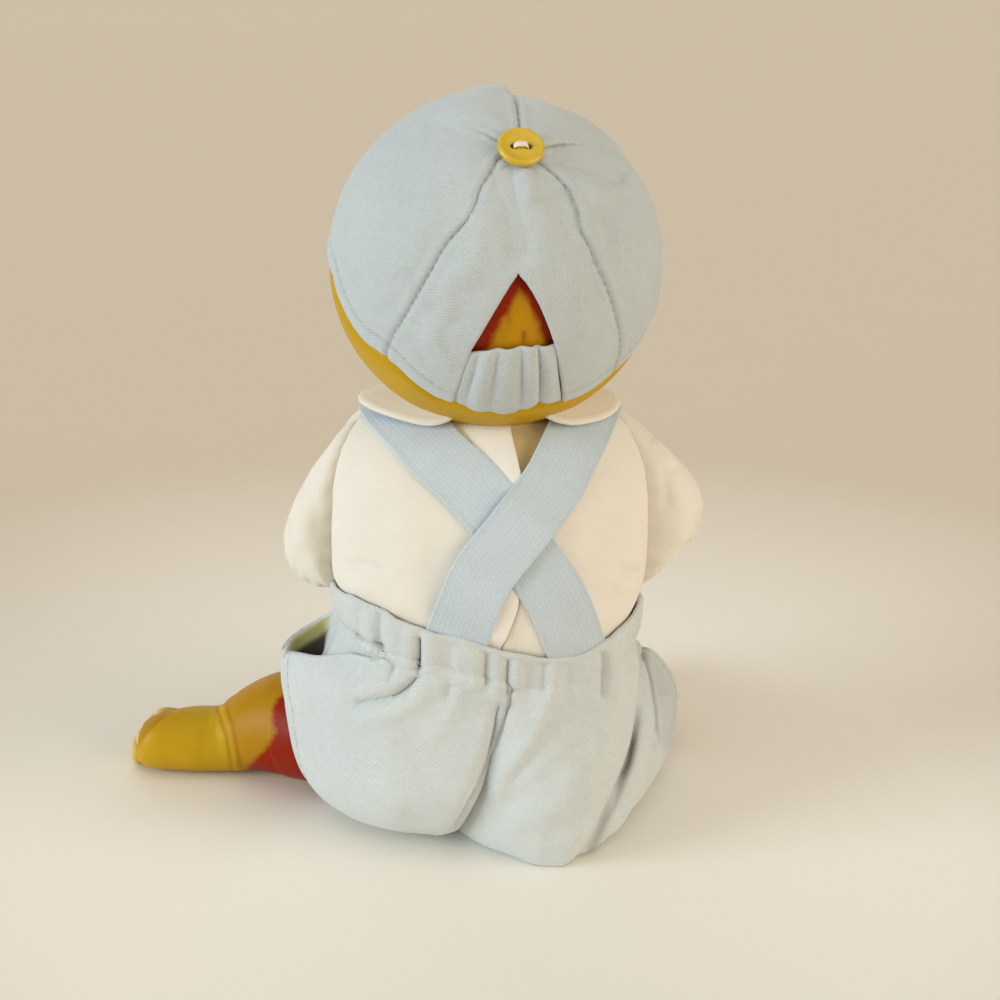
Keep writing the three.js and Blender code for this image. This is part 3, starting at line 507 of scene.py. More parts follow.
def cotton(name, light, dark, stain_and_reflection):
    m, nt, bsdf = material(name, 0.84, Sheen_Weight=0.2, Sheen_Roughness=0.5, Specular_IOR_Level=0.2)
    u, v = uv(nt)
    weft, warp = wave(nt, u, 0.62), wave(nt, v, 0.62)
    fuzz = grain(nt, 0.7, 4.0)
    patch = grain(nt, 24.0, 3.0)
    seam_and_shade = attr(nt, "seam_and_shade").outputs["Fac"]
    height = calc(nt, "ADD", calc(nt, "MULTIPLY", calc(nt, "MULTIPLY", weft, warp), 0.5), calc(nt, "MULTIPLY", fuzz, 0.9))
    tone = calc(nt, "MULTIPLY_ADD", height, 0.4, calc(nt, "MULTIPLY", patch, 0.5))
    col = blendrgb(nt, tone, dark, light)
    col = blendrgb(nt, calc(nt, "MULTIPLY", grain(nt, 48.0, 2.0), 0.3), col, stain_and_reflection)
    col = blendrgb(nt, calc(nt, "MULTIPLY", seam_and_shade, 0.5), col, tuple(c * 0.5 for c in dark))
    nt.links.new(col, bsdf.inputs["Base Color"])
    nt.links.new(calc(nt, "MULTIPLY_ADD", fuzz, 0.14, 0.76), bsdf.inputs["Roughness"])
    bump(nt, bsdf, height, 0.4, 0.00025)
    return m


def vinyl(name, base, pale, rough):
    m, nt, bsdf = material(name, rough, Specular_IOR_Level=0.14, Coat_Weight=0.02, Coat_Roughness=0.4)
    patch = grain(nt, 15.0, 3.0)
    fine = grain(nt, 1.4, 3.0)
    col = blendrgb(nt, calc(nt, "MULTIPLY", patch, 0.75), base, pale)
    t = attr(nt, "tint")
    col = blendrgb(nt, t.outputs["Alpha"], col, t.outputs["Color"])
    # painted red shade with a ragged edge
    edge = calc(nt, "MULTIPLY_ADD", grain(nt, 3.2, 3.0), 0.36, calc(nt, "ADD", attr(nt, "red_painted_shade").outputs["Fac"], -0.68))
    red = calc(nt, "MULTIPLY", calc(nt, "MINIMUM", calc(nt, "MAXIMUM", calc(nt, "MULTIPLY", edge, 4.0), 0.0), 1.0), 0.94)
    col = blendrgb(nt, red, col, blendrgb(nt, grain(nt, 5.0, 3.0), (0.19, 0.0, 0.0), (0.37, 0.002, 0.0)))
    nt.links.new(col, bsdf.inputs["Base Color"])
    nt.links.new(calc(nt, "MULTIPLY_ADD", patch, 0.16, rough - 0.08), bsdf.inputs["Roughness"])
    bump(nt, bsdf, calc(nt, "ADD", calc(nt, "MULTIPLY", fine, 0.35), patch), 0.12, 0.0005)
    return m


def gloss(name, base, deep, rough):
    m, nt, bsdf = material(name, rough, Specular_IOR_Level=0.5, Coat_Weight=0.35, Coat_Roughness=0.18)
    swirl = grain(nt, 4.5, 4.0)
    t = attr(nt, "tint")
    col = blendrgb(nt, swirl, deep, base)
    col = blendrgb(nt, t.outputs["Alpha"], col, t.outputs["Color"])
    nt.links.new(col, bsdf.inputs["Base Color"])
    nt.links.new(calc(nt, "MULTIPLY_ADD", swirl, 0.15, rough - 0.06), bsdf.inputs["Roughness"])
    bump(nt, bsdf, grain(nt, 1.2, 2.0), 0.06, 0.0003)
    return m


def threadlike(name, light, dark, rough=0.7):
    m, nt, bsdf = material(name, rough, Sheen_Weight=0.2, Sheen_Roughness=0.4)
    f = grain(nt, 0.8, 4.0, stretch=(1, 1, 2.5))
    nt.links.new(blendrgb(nt, f, dark, light), bsdf.inputs["Base Color"])
    nt.links.new(calc(nt, "MULTIPLY_ADD", f, 0.2, rough - 0.1), bsdf.inputs["Roughness"])
    bump(nt, bsdf, f, 0.4, 0.0002)
    return m


BLUE = twill("blue_twill", (0.735, 0.77, 0.765), (0.49, 0.525, 0.53), (0.70, 0.70, 0.65))
CAP_CLOTH = twill("blue_twill_cap", (0.63, 0.69, 0.715), (0.42, 0.465, 0.485), (0.60, 0.615, 0.585))
ELASTIC = ribbed("blue_elastic_rib", (0.70, 0.78, 0.84), (0.49, 0.56, 0.61))
CREAM = cotton("cream_cotton", (0.87, 0.82, 0.745), (0.74, 0.675, 0.58), (0.85, 0.78, 0.67))
WHITE = cotton("white_facing", (0.93, 0.90, 0.85), (0.78, 0.74, 0.68), (0.90, 0.86, 0.80))
SKIN = vinyl("gold_vinyl", (0.51, 0.28, 0.004), (0.60, 0.385, 0.014), 0.44)
BODY = cotton("body_muslin", (0.92, 0.78, 0.46), (0.78, 0.58, 0.22), (0.90, 0.78, 0.52))
BUTTON = gloss("yellow_button", (0.72, 0.50, 0.02), (0.58, 0.36, 0.01), 0.26)
THREAD = threadlike("cream_thread", (0.90, 0.86, 0.74), (0.66, 0.60, 0.46))
PALE_THREAD = threadlike("pale_blue_thread", (0.58, 0.65, 0.68), (0.36, 0.42, 0.46))
TIE = threadlike("nylon_tie", (0.88, 0.87, 0.84), (0.70, 0.68, 0.64), 0.45)
EYE_MAT = gloss("glass_eye", (0.9, 0.88, 0.84), (0.82, 0.80, 0.76), 0.12)


def place(ob, body, mat, stands=(), bend=None):
    ob.data.materials.clear()
    ob.data.materials.append(mat)
    if bend:
        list(bend)
        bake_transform(ob)
    else:
        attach(ob, body)
    if stands:
        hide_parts(*stands)
    return ob


def sheet(ob, k=1.0, w=None):
    """Works out the flat size that a cloth piece's own area gives, and keeps nothing; w is a strip's known width."""
    area = sum(p.area for p in ob.data.polygons) / 2 * k
    size = sorted(ob.dimensions)[1:]
    w = w or math.sqrt(area * size[0] / size[1])


# -------------------------------------------------------------------- the head
HEAD, HEAD_R, YAW = V(-2.1, 4, 192.0), 48.7, rad(6.4)
RZ = np.array([[math.cos(YAW), -math.sin(YAW), 0], [math.sin(YAW), math.cos(YAW), 0], [0, 0, 1]])


TILT = rad(-30)
RX = np.array([[1, 0, 0], [0, math.cos(TILT), -math.sin(TILT)], [0, math.sin(TILT), math.cos(TILT)]])
CAP = RZ @ RX  # cap axes: crown +Z, back +Y, doll's left +X
capdir = lambda psi, theta: V(-math.sin(rad(theta)) * math.sin(rad(psi)), math.sin(rad(theta)) * math.cos(rad(psi)), math.cos(rad(theta)))


def spot(x, y, r=51.3):
    """Direction, in the cap's axes, of the crown point seen at a pixel."""
    d, o = sight(x, y), EYE - HEAD
    b = o @ d
    k = -b - math.sqrt(max(b * b - o @ o + r * r, 0.0))
    return unit((o + d * k) @ CAP)


def spots(*px):
    """The same for a row of pixels, as angles from the back and from the crown."""
    d = np.array([spot(*p) for p in px])
    return [(float(a), float(b)) for a, b in zip(np.degrees(np.arctan2(-d[:, 0], d[:, 1])), np.degrees(np.arccos(d[:, 2])))]


APEX = spot(521, 147, 52.6)
_side = unit(np.cross(V(0, 1, 0), APEX))
CROWN = np.stack([_side, np.cross(APEX, _side), APEX], 1)  # the same axes leaned on to the button


def crown_angles(dirs):
    q = np.asarray(dirs, float) @ CROWN
    return np.degrees(np.arctan2(-q[..., 0], q[..., 1])), np.degrees(np.arccos(np.clip(q[..., 2], -1, 1)))


def crown_dir(psi, theta):
    p, t = np.radians(psi), np.radians(theta)
    q = np.stack([-np.sin(t) * np.sin(p), np.sin(t) * np.cos(p), np.cos(t) * np.ones_like(p)], -1)
    return q @ CROWN.T


cap_at = lambda d, r: HEAD + (np.asarray(d) * np.asarray(r)[..., None]) @ CAP.T
tab = lambda pts: crown_angles(np.array([capdir(*p) for p in pts]))
ARCH_L = spots((518.4, 274.5), (511, 285), (502, 299.5), (494, 313), (486, 326.5), (478, 340), (470, 353), (462, 378), (453, 402), (450, 413))
ARCH_R = spots((518.4, 274.5), (526, 282.5), (533, 293), (540, 306), (545, 317.5), (550, 330.5), (554.8, 345), (559, 371), (562.5, 402), (564, 413))
RIM = ([(-180, 90), (-150, 90.5), (-120, 91), (-104, 90)] + spots((334, 276), (338.5, 295), (346.5, 314), (355, 329), (366, 342.5), (384, 357), (402, 371.5), (420, 386), (436, 396.5), (453, 403), (476, 408), (505, 411),
       (535, 408), (562, 402), (588.7, 391.5), (608, 378.5), (621, 366.5)) + [(62, 104), (76, 99), (92, 95), (120, 92), (150, 90.5), (180, 90)])


def ang(d, *c):
    return np.arccos(np.clip(d @ unit(V(*c)), -1, 1))


def head():
    nu, nv = 210, 300
    t = np.linspace(0, 1, nu)
    th = np.pi * t
    g = np.linspace(0, 2 * np.pi, nv, endpoint=False)
    f = g - 0.55 * np.sin(g)  # closer columns on the face, which is at 0
    d = np.stack([np.sin(th)[:, None] * np.sin(f), -np.sin(th)[:, None] * np.cos(f), np.cos(th)[:, None] * np.ones(nv)], -1)
    r = np.full((nu, nv), HEAD_R)
    b = lambda x, y, z, amp, w: amp * np.exp(-((ang(d, x, y, z) / w) ** 2))
    tint = np.zeros((nu, nv, 4))

    def paint(mask, col):
        m = np.clip(mask, 0, 1)[..., None]
        a0 = tint[..., 3:4]
        tint[..., :3] = np.where(m + a0 > 0, (tint[..., :3] * a0 * (1 - m) + V(*col) * m) / np.maximum(a0 * (1 - m) + m, 1e-6), tint[..., :3])
        tint[..., 3:4] = a0 * (1 - m) + m

    x, z = d[..., 0] / np.maximum(-d[..., 1], 0.05), d[..., 2] / np.maximum(-d[..., 1], 0.05)
    front = d[..., 1] < -0.25
    # fuller below the cap's edge, at the sides and the nape
    q = d @ RX  # the same directions in the cap's axes
    th, ps = np.degrees(np.arccos(np.clip(q[..., 2], -1, 1))), np.degrees(np.arctan2(-q[..., 0], q[..., 1]))
    edge = np.interp(ps, [p for p, _ in RIM], [t2 for _, t2 in RIM])
    r += 2.75 * ramp(th - edge, -1.5, 5.0) * ramp(d[..., 1], -0.45, 0.1)
    r -= 2.0 * ramp(th - edge, 26, 60) * ramp(d[..., 1], -0.45, 0.1)
    for s in (1, -1):
        r += b(0.46 * s, -0.8, -0.36, 3.0, 0.33)  # cheeks
        r -= b(0.32 * s, -0.94, 0.03, 1.4, 0.2)
        paint(0.5 * np.exp(-((ang(d, 0.52 * s, -0.78, -0.34) / 0.2) ** 2)), (0.60, 0.10, 0.03))
        # ears
        e = ang(d, s, -0.42, -0.36)
        r += 2.6 * np.exp(-((e / 0.115) ** 4)) - 1.9 * np.exp(-((ang(d, 0.97 * s, -0.46, -0.34) / 0.055) ** 2))
        # lids round an almond opening
        ex, ez = (x - 0.345 * s) / 0.124, (z + 0.005) / 0.098
        lens = np.where(front, ex**2 + np.where(ez > 0, ez / 0.72, ez) ** 2, 9)  # upper lid lower than a circle
        r += 1.3 * np.exp(-((np.sqrt(lens) - 1.18) / 0.26) ** 2) * front
        hole = ramp(1.06 - np.sqrt(lens), 0.0, 0.12)
        r -= 5.2 * hole
        upper = np.exp(-((np.sqrt(lens) - 1.1) / 0.11) ** 2) * ramp(ez, -0.15, 0.35) * front
        paint(0.95 * upper, (0.03, 0.012, 0.006))
        paint(0.35 * np.exp(-((np.sqrt(lens) - 1.1) / 0.1) ** 2) * ramp(-ez, 0.1, 0.6) * front, (0.22, 0.07, 0.02))
        # soft painted brow
        bx, bz = (x - 0.36 * s) / 0.19, (z - 0.235 + 0.10 * ((x - 0.36 * s) / 0.19) ** 2 * 0.5) / 0.022
        paint(0.6 * np.exp(-(bx**4) - bz**2) * front, (0.15, 0.065, 0.015))
    r += b(0, -0.98, -0.2, 5.4, 0.115) + b(0, -0.99, -0.08, 1.8, 0.12)  # nose
    for s in (1, -1):
        r += b(0.075 * s, -0.97, -0.235, 1.5, 0.05)
        r -= b(0.04 * s, -0.965, -0.285, 0.9, 0.022)
        paint(0.7 * np.exp(-((ang(d, 0.04 * s, -0.96, -0.287) / 0.02) ** 2)), (0.2, 0.03, 0.01))
    # lips: cupid's bow, parting line and lower lip
    mx, mz = x / 0.15, (z + 0.465) / 0.05
    bow = 0.55 - 0.55 * mx**2 + 0.28 * np.exp(-((np.abs(mx) - 0.28) / 0.16) ** 2)
    lip = front * ramp(1 - np.abs(mx), 0, 0.25) * np.where(mz > 0, ramp(bow - mz * 0.75, -0.1, 0.2), ramp(1.0 - mx**2 + mz * 0.85, -0.1, 0.25))
    r += 1.5 * lip * np.exp(-((mz - 0.3) / 0.45) ** 2) + 1.8 * lip * np.exp(-((mz + 0.6) / 0.55) ** 2)
    part = np.exp(-(((mz + 0.02 - 0.12 * mx**2) / 0.16) ** 2)) * ramp(1.15 - np.abs(mx), 0, 0.3) * front
    r -= 1.5 * part
    paint(0.8 * lip, (0.47, 0.09, 0.045))
    paint(0.75 * part, (0.16, 0.02, 0.01))
    r += b(0, -0.82, -0.6, 2.6, 0.2) - b(0, -0.86, -0.53, 0.8, 0.1)  # chin
    r -= 0.5 * np.exp(-(((z + 0.36) / 0.05) ** 2) - (x / 0.03) ** 2) * front
    # warm shading where the cap and its opening shade the vinyl
    back = (RZ @ V(0, 1, 0))
    P = HEAD + (d * r[..., None]) @ RZ.T
    px, py = pixel(P)
    seen = np.sum(unit(P - HEAD) * unit(EYE - P), -1) > 0.05
    red_painted_shade = np.zeros((nu, nv))
    # painted red shade along both edges of the cap's opening
    for line, w in (([(518, 270), (508, 286), (494, 310), (478, 339), (466, 356)], 15.5), ([(519, 270), (530, 286), (543, 311), (552, 336), (558, 352)], 12.0)):
        q, s = stroke(px, py, line)
        red_painted_shade = np.maximum(red_painted_shade, np.clip(0.5 + (w - q) / 26, 0, 1) * seen)
    paint(0.55 * ramp(356 - py, 0, 8) * ramp(py, 268, 280) * ramp(38 - np.abs(px - 515), 0, 10) * seen, V(0.50, 0.19, 0.002))
    for line, w, k in (([(501, 330), (500, 356)], 1.6, 0.7), ([(524, 332), (525, 354)], 1.6, 0.7), ([(511, 296), (506, 330)], 2.0, 0.45), ([(497, 318), (492, 345)], 2.2, 0.4)):
        q, s = stroke(px, py, line)
        paint(k * np.exp(-((q / w) ** 2)) * seen, V(0.22, 0.05, 0.0))
    ob = skin("head_vinyl", P, tint=tint, attrs={"red_painted_shade": red_painted_shade})
    neck = turned([(9, -12), (14, -12), (15, -11.2), (15, -6.4), (12.9, -5.4), (12.9, -2.6), (15, -1.6), (15.4, 3), (17, 8), (20, 12)], 48, V(-2, 4, 143), V(0, 0, 1))
    nk = skin("neck_part", neck, out=-1, tint=np.zeros((*neck.shape[:2], 4)), attrs={"red_painted_shade": np.zeros(neck.shape[:2])})
    ob = join("head_vinyl", [ob, nk])
    place(ob, "head", SKIN, ["head_shell"])
    for s, side in ((1, "left"), (-1, "right")):
        e = unit(RZ @ V(0.372 * s, -0.93, -0.01))
        c = HEAD + 38.3 * e
        th = np.linspace(0, math.pi, 110)
        P = turned([(10.6 * math.sin(a), 10.6 * math.cos(a)) for a in th], 72, c, e)
        look = unit(RZ @ V(0.22 * s, -0.96, -0.05))
        a = np.arccos(np.clip(unit(P - c) @ look, -1, 1))
        turn = np.arctan2((P - c)[..., 2], (P - c)[..., 0])
        col = np.ones((*P.shape[:2], 4))
        ray = 0.5 + 0.5 * np.sin(turn * 17)
        iris = V(0.085, 0.032, 0.008) + ray[..., None] * V(0.10, 0.045, 0.010)
        col[..., :3] = V(0.82, 0.79, 0.72)
        col[..., :3] = np.where((a < 0.41)[..., None], iris, col[..., :3])
        col[..., :3] = np.where((np.abs(a - 0.41) < 0.04)[..., None], V(0.02, 0.012, 0.006), col[..., :3])
        col[..., :3] = np.where((a < 0.19)[..., None], V(0.003, 0.003, 0.003), col[..., :3])
        place(skin(side + "_glass_eye", P, out=-1, tint=col), "head", EYE_MAT, [side + "_eye"])


head()

# --------------------------------------------------------------------- the cap
SEAMS = [
    spots((499, 158), (489, 172), (480, 188), (476, 202), (471, 215), (446, 244), (428, 275), (407, 312), (386, 352)) + [(-47.5, 108)],
    spots((543, 164), (560, 178), (573, 196), (579, 213), (582, 230), (590, 247), (601, 273), (611, 297), (618, 322), (621, 352)) + [(42, 110)],
    spots((545, 145.5), (566, 142.5), (586, 143), (606, 150)) + [(104, 62), (110, 93)],
    spots((498, 139), (475, 129), (441, 127), (408, 134)) + [(-100, 60), (-108, 93)],
    spots((519.5, 124), (518, 112)) + [(170, 48), (174, 66), (180, 92)],
]


def polyline(pts, n=70):
    d = np.array([APEX] + [capdir(*p) for p in pts])
    L = np.concatenate([[0], np.cumsum(np.linalg.norm(np.diff(d, axis=0), axis=1))])
    return unit(smooth(np.linspace(0, L[-1], n), L, d))


SEAM_LINES = [polyline(s) for s in SEAMS]


# how far each seam is from being drawn tight, along its length: some hardly show
SLACK = [np.zeros(70), np.zeros(70), 0.85 * ramp(np.linspace(0, 1, 70), 0.18, 0.3), 0.25 + 0.8 * ramp(np.linspace(0, 1, 70), 0.1, 0.2), np.zeros(70)]


def seam_gap(d):
    return np.min([np.min(np.linalg.norm(d[..., None, :] - ln, axis=-1) * 51 + k, -1) for ln, k in zip(SEAM_LINES, SLACK)], 0)


def crown_radius(d, gap):
    r = 50.1 + 0.8 * (1 - np.exp(-((gap / 7.0) ** 2))) - 0.95 * np.exp(-((gap / 0.75) ** 2)) + 0.3 * np.exp(-(((gap - 2.0) / 1.0) ** 2))
    g = lambda psi, th, amp, w: amp * np.exp(-((ang(d, *capdir(psi, th)) * 51 / w) ** 2))
    # the front left panel stands up in a peak beside the front seam
    ps = np.degrees(np.arctan2(-d[..., 0], d[..., 1])) % 360
    r += (g(175, 48, 3.0, 8.5) + g(-165, 40, 0.5, 15)) * ramp(ps - 170, -2.5, 3.0) + g(150, 44, -1.3, 13) + g(167, 30, -0.5, 6)
    # slack dents in the back panel and beside the button
    r += g(-62, 50, 0.7, 14) + g(78, 33, -1.5, 7) + g(66, 25, -0.9, 6)
    r += 0.4 * lumps(d * 51, 17, 3) + 0.2 * lumps(d * 51, 7, 4)
    return r


def cap():
    pL, tL = tab(ARCH_L)
    pR, tR = tab(ARCH_R)
    pr, tr = tab(RIM)
    order = np.argsort(pr)
    rim = lambda psi: np.interp((np.asarray(psi) + 180) % 360 - 180, pr[order], tr[order], period=360)
    nu, nv = 92, 300
    c = steps(nv - 8, 0.006)
    s = np.linspace(0, 1, nu - 3)
    s = np.concatenate([s[:-1], [0.99, 0.995, 0.9985, 1.0]])
    s = 0.045 + 0.955 * s
    D = np.zeros((len(s), len(c), 3))
    for i, k in enumerate(s):
        th = np.full(len(c), k * 104.0)
        for _ in range(4):
            a, b = np.interp(th, tR, pR), np.interp(th, tL, pL)
            psi = a + (b + 360 - a) * c
            th = k * rim(psi)
        D[i] = crown_dir(psi, th)
    gap = seam_gap(D)
    r = crown_radius(D, gap)
    P = cap_at(D, r)
    lu, _ = lengths(P, False)
    low = lu[-1:] - lu  # distance from the rim: turned hem with a stitch groove
    hem = 0.35 * ramp(6.2 - low, 0, 0.8) - 0.35 * np.exp(-(((low - 6.0) / 0.7) ** 2))
    hem -= 0.9 * ramp(2.2 - low, 0, 2.2) * 0.5
    P = cap_at(D, r + hem)
    P = sculpt(P, [([(500, 164), (507, 186), (513, 208), (519, 240), (521, 268)], -1.7, 13, 0.12), ([(522, 168), (527, 190), (531, 205)], 1.1, 8),
                   ([(552, 190), (566, 214), (570, 240)], -1.2, 12), ([(485, 205), (478, 240), (462, 290)], 0.9, 12), ([(440, 190), (420, 235), (400, 280)], 0.7, 11),
                   ([(548, 154), (580, 162), (608, 172), (626, 182)], -1.9, 7, 0.12), ([(560, 172), (590, 186), (612, 200)], 0.8, 9), ([(424, 128), (441, 127), (460, 130)], -0.7, 7),
                   ([(350, 215), (345, 260)], -0.5, 10), ([(600, 215), (612, 250)], -0.9, 9), ([(566, 262), (572, 300), (584, 340)], 0.6, 9),
                   ([(455, 260), (446, 305), (428, 350)], 0.6, 9), ([(410, 330), (430, 368)], -0.5, 5), ([(430, 322), (452, 372)], 0.5, 5), ([(430, 300), (445, 325), (470, 318)], -0.6, 8)])
    far = np.linalg.norm(P - HEAD, axis=-1)
    P = HEAD + (P - HEAD) * (np.maximum(far, HEAD_R + 0.95) / far)[..., None]  # never under the vinyl
    seam_and_shade = np.exp(-((gap / 0.7) ** 2)) + 0.25 * np.exp(-(((low - 6.0) / 0.6) ** 2))
    shut = np.linalg.norm(P[:, 0] - P[:, -1], axis=-1) < 0.02
    ob = slab("cap_crown", P, 1.5, edges=(0, 1, 1, 1), attrs={"seam_and_shade": np.clip(seam_and_shade, 0, 1)}, out=np.sign(np.sum(normals(P)[40, 40] * (P[40, 40] - HEAD))), zipped=shut)
    place(ob, "head", CAP_CLOTH, ["cap_back_panel", "cap_left_side_panel", "cap_right_side_panel", "cap_front_left_panel", "cap_front_right_panel"])
    sheet(ob)
    # dashed hem stitching all round
    N = unit(P - HEAD)
    row = np.argmin(np.abs(low - 6.0), 0)
    J = np.arange(6, len(c) - 6)
    place(stitches("cap_stitching", P[row[J], J] + N[row[J], J] * 0.75, N[row[J], J], 2.0, 1.6, 0.2, 0.07), "head", PALE_THREAD)
    # strap: gathered elastic casing under the arch
    nu, nv = 40, 90
    uu, vv = steps(nu, 0.02), steps(nv, 0.012)
    D = np.zeros((len(uu), len(vv), 3))
    G = np.zeros((len(uu), len(vv)))
    seam_and_shade = np.zeros_like(G)
    for i, k in enumerate(uu):
        for j, q in enumerate(vv):
            top = 353.5 - 7.5 * q + 0.7 * math.sin(q * 17)
            low = float(smooth(q, [0, 0.1, 0.25, 0.45, 0.62, 0.78, 0.87, 1], [401, 406.5, 412, 414.5, 411.5, 405, 404, 401.5]))
            x = (468.5 + 88 * q) + (451.5 + 112 * q - 468.5 - 88 * q) * k
            D[i, j] = spot(x + 1.2 * math.sin(9 * q + 3 * k), top + (low - top) * k)
            # uneven gathers, one of them pinched shut near the lower edge
            g = sum(A * math.exp(-(((q - c0 - 0.02 * (k - 0.5) * math.sin(9 * c0)) / w) ** 2))
                    for c0, A, w in ((0.23, 0.9, 0.07), (0.48, 0.8, 0.09), (0.70, 1.0, 0.055), (0.90, 0.8, 0.06), (0.12, -0.5, 0.04), (0.345, -0.6, 0.05), (0.61, -0.7, 0.04), (0.79, -1.5, 0.026)))
            G[i, j] = g * (0.5 + 0.5 * math.sin(math.pi * min(1, k * 1.1))) * (0.3 + 0.7 * ramp(min(q, 1 - q), 0, 0.1))
            # painted shade down the pinched gather; the edges darker along their seams
            seam_and_shade[i, j] = 1.0 * math.exp(-(((q - 0.79) / 0.014) ** 2)) * ramp(k, 0.35, 0.55) * ramp(1 - k, 0.05, 0.2) + 0.5 * math.exp(-((min(q, 1 - q) / 0.02) ** 2))
    P = cap_at(D, 50.3 + G + 0.5 * np.sin(np.pi * uu)[:, None])
    ob = slab("cap_strap_gathered", P, 1.6, attrs={"seam_and_shade": seam_and_shade}, out=np.sign(np.sum(normals(P)[20, 40] * (P[20, 40] - HEAD))))
    place(ob, "head", CAP_CLOTH, ["cap_strap"])
    sheet(ob, 1.3)
    # bill with rows of stitching
    uu, vv = steps(60, 0.02), steps(22, 0.04)
    P = np.zeros((len(uu), len(vv), 3))
    for i, k in enumerate(uu):
        a = (k - 0.5) * rad(84)
        ln = 25 * max(0.0, math.cos((k - 0.5) * math.pi * 0.98)) ** 0.55 + 1.2
        for j, q in enumerate(vv):
            r = 51.2 + ln * q
            drop = -(r - 51.4) * math.tan(rad(34)) - 9 * math.sin(a) ** 2 * q + 1.0 + 1.1 * math.sin(math.pi * q)
            P[i, j] = HEAD + CAP @ V(r * math.sin(a), -r * math.cos(a), drop)
    rows = sum(np.exp(-(((vv - c0) / 0.014) ** 2)) for c0 in (0.2, 0.36, 0.52, 0.68, 0.84))
    seam_and_shade = np.tile(rows, (len(uu), 1)) * 0.6
    ob = slab("cap_bill_stitched", P, 2.6, attrs={"seam_and_shade": seam_and_shade}, out=np.sign(np.sum(normals(P)[30, 10] @ (CAP @ V(0, 0, 1)))))
    place(ob, "head", CAP_CLOTH, ["cap_bill"])
    up = unit(CAP @ APEX)
    o = HEAD + up * 50.9
    across = unit(CAP @ V(1, 0, 0) - up * np.dot(CAP @ V(1, 0, 0), up))
    prof = [(0, 0.2), (5.6, 0.2), (6.8, 0.6), (7.2, 1.3), (7.25, 2.0), (7.0, 2.55), (6.5, 2.78), (5.9, 2.7), (5.2, 2.5), (4.4, 2.36), (3.2, 2.28), (1.6, 2.25), (0, 2.25)]
    L = np.concatenate([[0], np.cumsum(np.linalg.norm(np.diff(np.array(prof), axis=0), axis=1))])
    P = turned(smooth(np.linspace(0, L[-1], 60), L, np.array(prof)) * V(0.95, 1), 72, o, up)
    tint = np.zeros((*P.shape[:2], 4))
    for s in (1, -1):
        q = np.linalg.norm(P - (o + across * 2.1 * s + up * 2.25), axis=-1)
        hole = ramp(1.3 - q, 0, 0.5) * (((P - o) @ up) > 1.5)
        P = P - up * (1.2 * hole)[..., None]
        # painted shade: the hole dimples dark brown
        tint[..., :3] = V(0.10, 0.045, 0.004)
        tint[..., 3] = np.maximum(tint[..., 3], hole * 0.9)
    ob = skin("crown_button", P, out=1, tint=tint)
    place(ob, "head", BUTTON, ["cap_button"])
    bars = []
    cross = np.cross(up, across)
    for k in (-0.75, 0, 0.75):
        s = np.linspace(-1, 1, 19)
        path = o + across * (s * 2.2)[:, None] + up * (3.05 - 1.5 * np.abs(s) ** 4 + 0.12 * (k == 0))[:, None] + cross * k * 0.62
        rr = 0.46
        f = np.linspace(0, 2 * np.pi, 10, endpoint=False)
        Q = path[:, None] + rr * (np.cos(f)[:, None] * up + np.sin(f)[:, None] * cross)[None]
        bars.append(skin("bar", Q))
    place(join("button_thread", bars), "head", THREAD, ["cap_button_thread"])


cap()

# ------------------------------------------------------------------- the shirt
NEXP = 2.4

spow = lambda c, e: np.sign(c) * np.abs(c) ** e
BAND_PX = [(340, 584), (351, 589), (362, 596.5), (378.5, 606), (400, 616), (414, 624), (429.5, 629), (452, 636), (476, 643.5), (501, 652), (530, 657), (562, 659.5), (586, 656), (603, 644), (617, 631), (630, 616), (638, 607)]


def on_drum(x, y, rx, ry):
    """Point of an upright rounded drum seen at a pixel."""
    d = sight(x, y)
    for k in np.arange(500, 700, 0.25):
        q = EYE + d * k
        if abs(q[0] / rx) ** NEXP + abs((q[1] - 3) / ry) ** NEXP < 1:
            return q
    return None


_top = sorted((q[0], q[2]) for q in (on_drum(*p, 48.8, 43.0) for p in BAND_PX) if q is not None)
_tx, _tz = np.array([q[0] for q in _top]), np.array([q[1] for q in _top])
_gx = np.linspace(-50, 50, 201)
_gz = np.interp(_gx, _tx, _tz)
for _ in range(40):
    _gz[1:-1] = (_gz[:-2] + 2 * _gz[1:-1] + _gz[2:]) / 4
BAND_TOP = lambda x: np.interp(x, _gx, _gz)  # height of the band's upper edge along the back
BAND_LOW = lambda x: BAND_TOP(x) - 16.8


def band_edge(x, y):
    """Height of the band's upper edge, behind and in front."""
    return np.where(y > 3, BAND_TOP(x), smooth(x, [-50, 0, 50], [_gz[0], 77.5, _gz[-1]]))


# z, half width, half depth (about y = 3)
SHIRT = np.array([[56, 45.4, 38.6], [64, 45.8, 39.0], [72, 46.3, 39.7], [78, 47.3, 40.8], [85, 49.0, 41.6], [96, 50.8, 41.4], [106, 51.2, 40], [116, 51.0, 38],
                  [124, 50.2, 35.4], [131, 48.4, 32], [137, 45.4, 28.4], [141.5, 41, 24.4], [144.6, 33, 20], [146, 22, 15]])


def shirt_half(z):
    return smooth(z, SHIRT[:, 0], SHIRT[:, 1]), smooth(z, SHIRT[:, 0], SHIRT[:, 2])


def on_shirt(f, z, off=0.0):
    """f: 0 at the doll's left side, 90 degrees at the back."""
    rx, ry = shirt_half(z)
    return np.stack([(rx + off) * spow(np.cos(f), 2 / NEXP), 3 + (ry + off) * spow(np.sin(f), 2 / NEXP), z * np.ones_like(f)], -1)


def shirt_side(y, z):
    rx, ry = shirt_half(z)
    return rx * np.maximum(0, 1 - np.abs((y - 3) / ry) ** NEXP) ** (1 / NEXP)


def angle_at(x, z):
    rx, _ = shirt_half(z)
    c = np.clip(x / rx, -1, 1)
    return np.arccos(np.clip(spow(c, NEXP / 2), -1, 1))


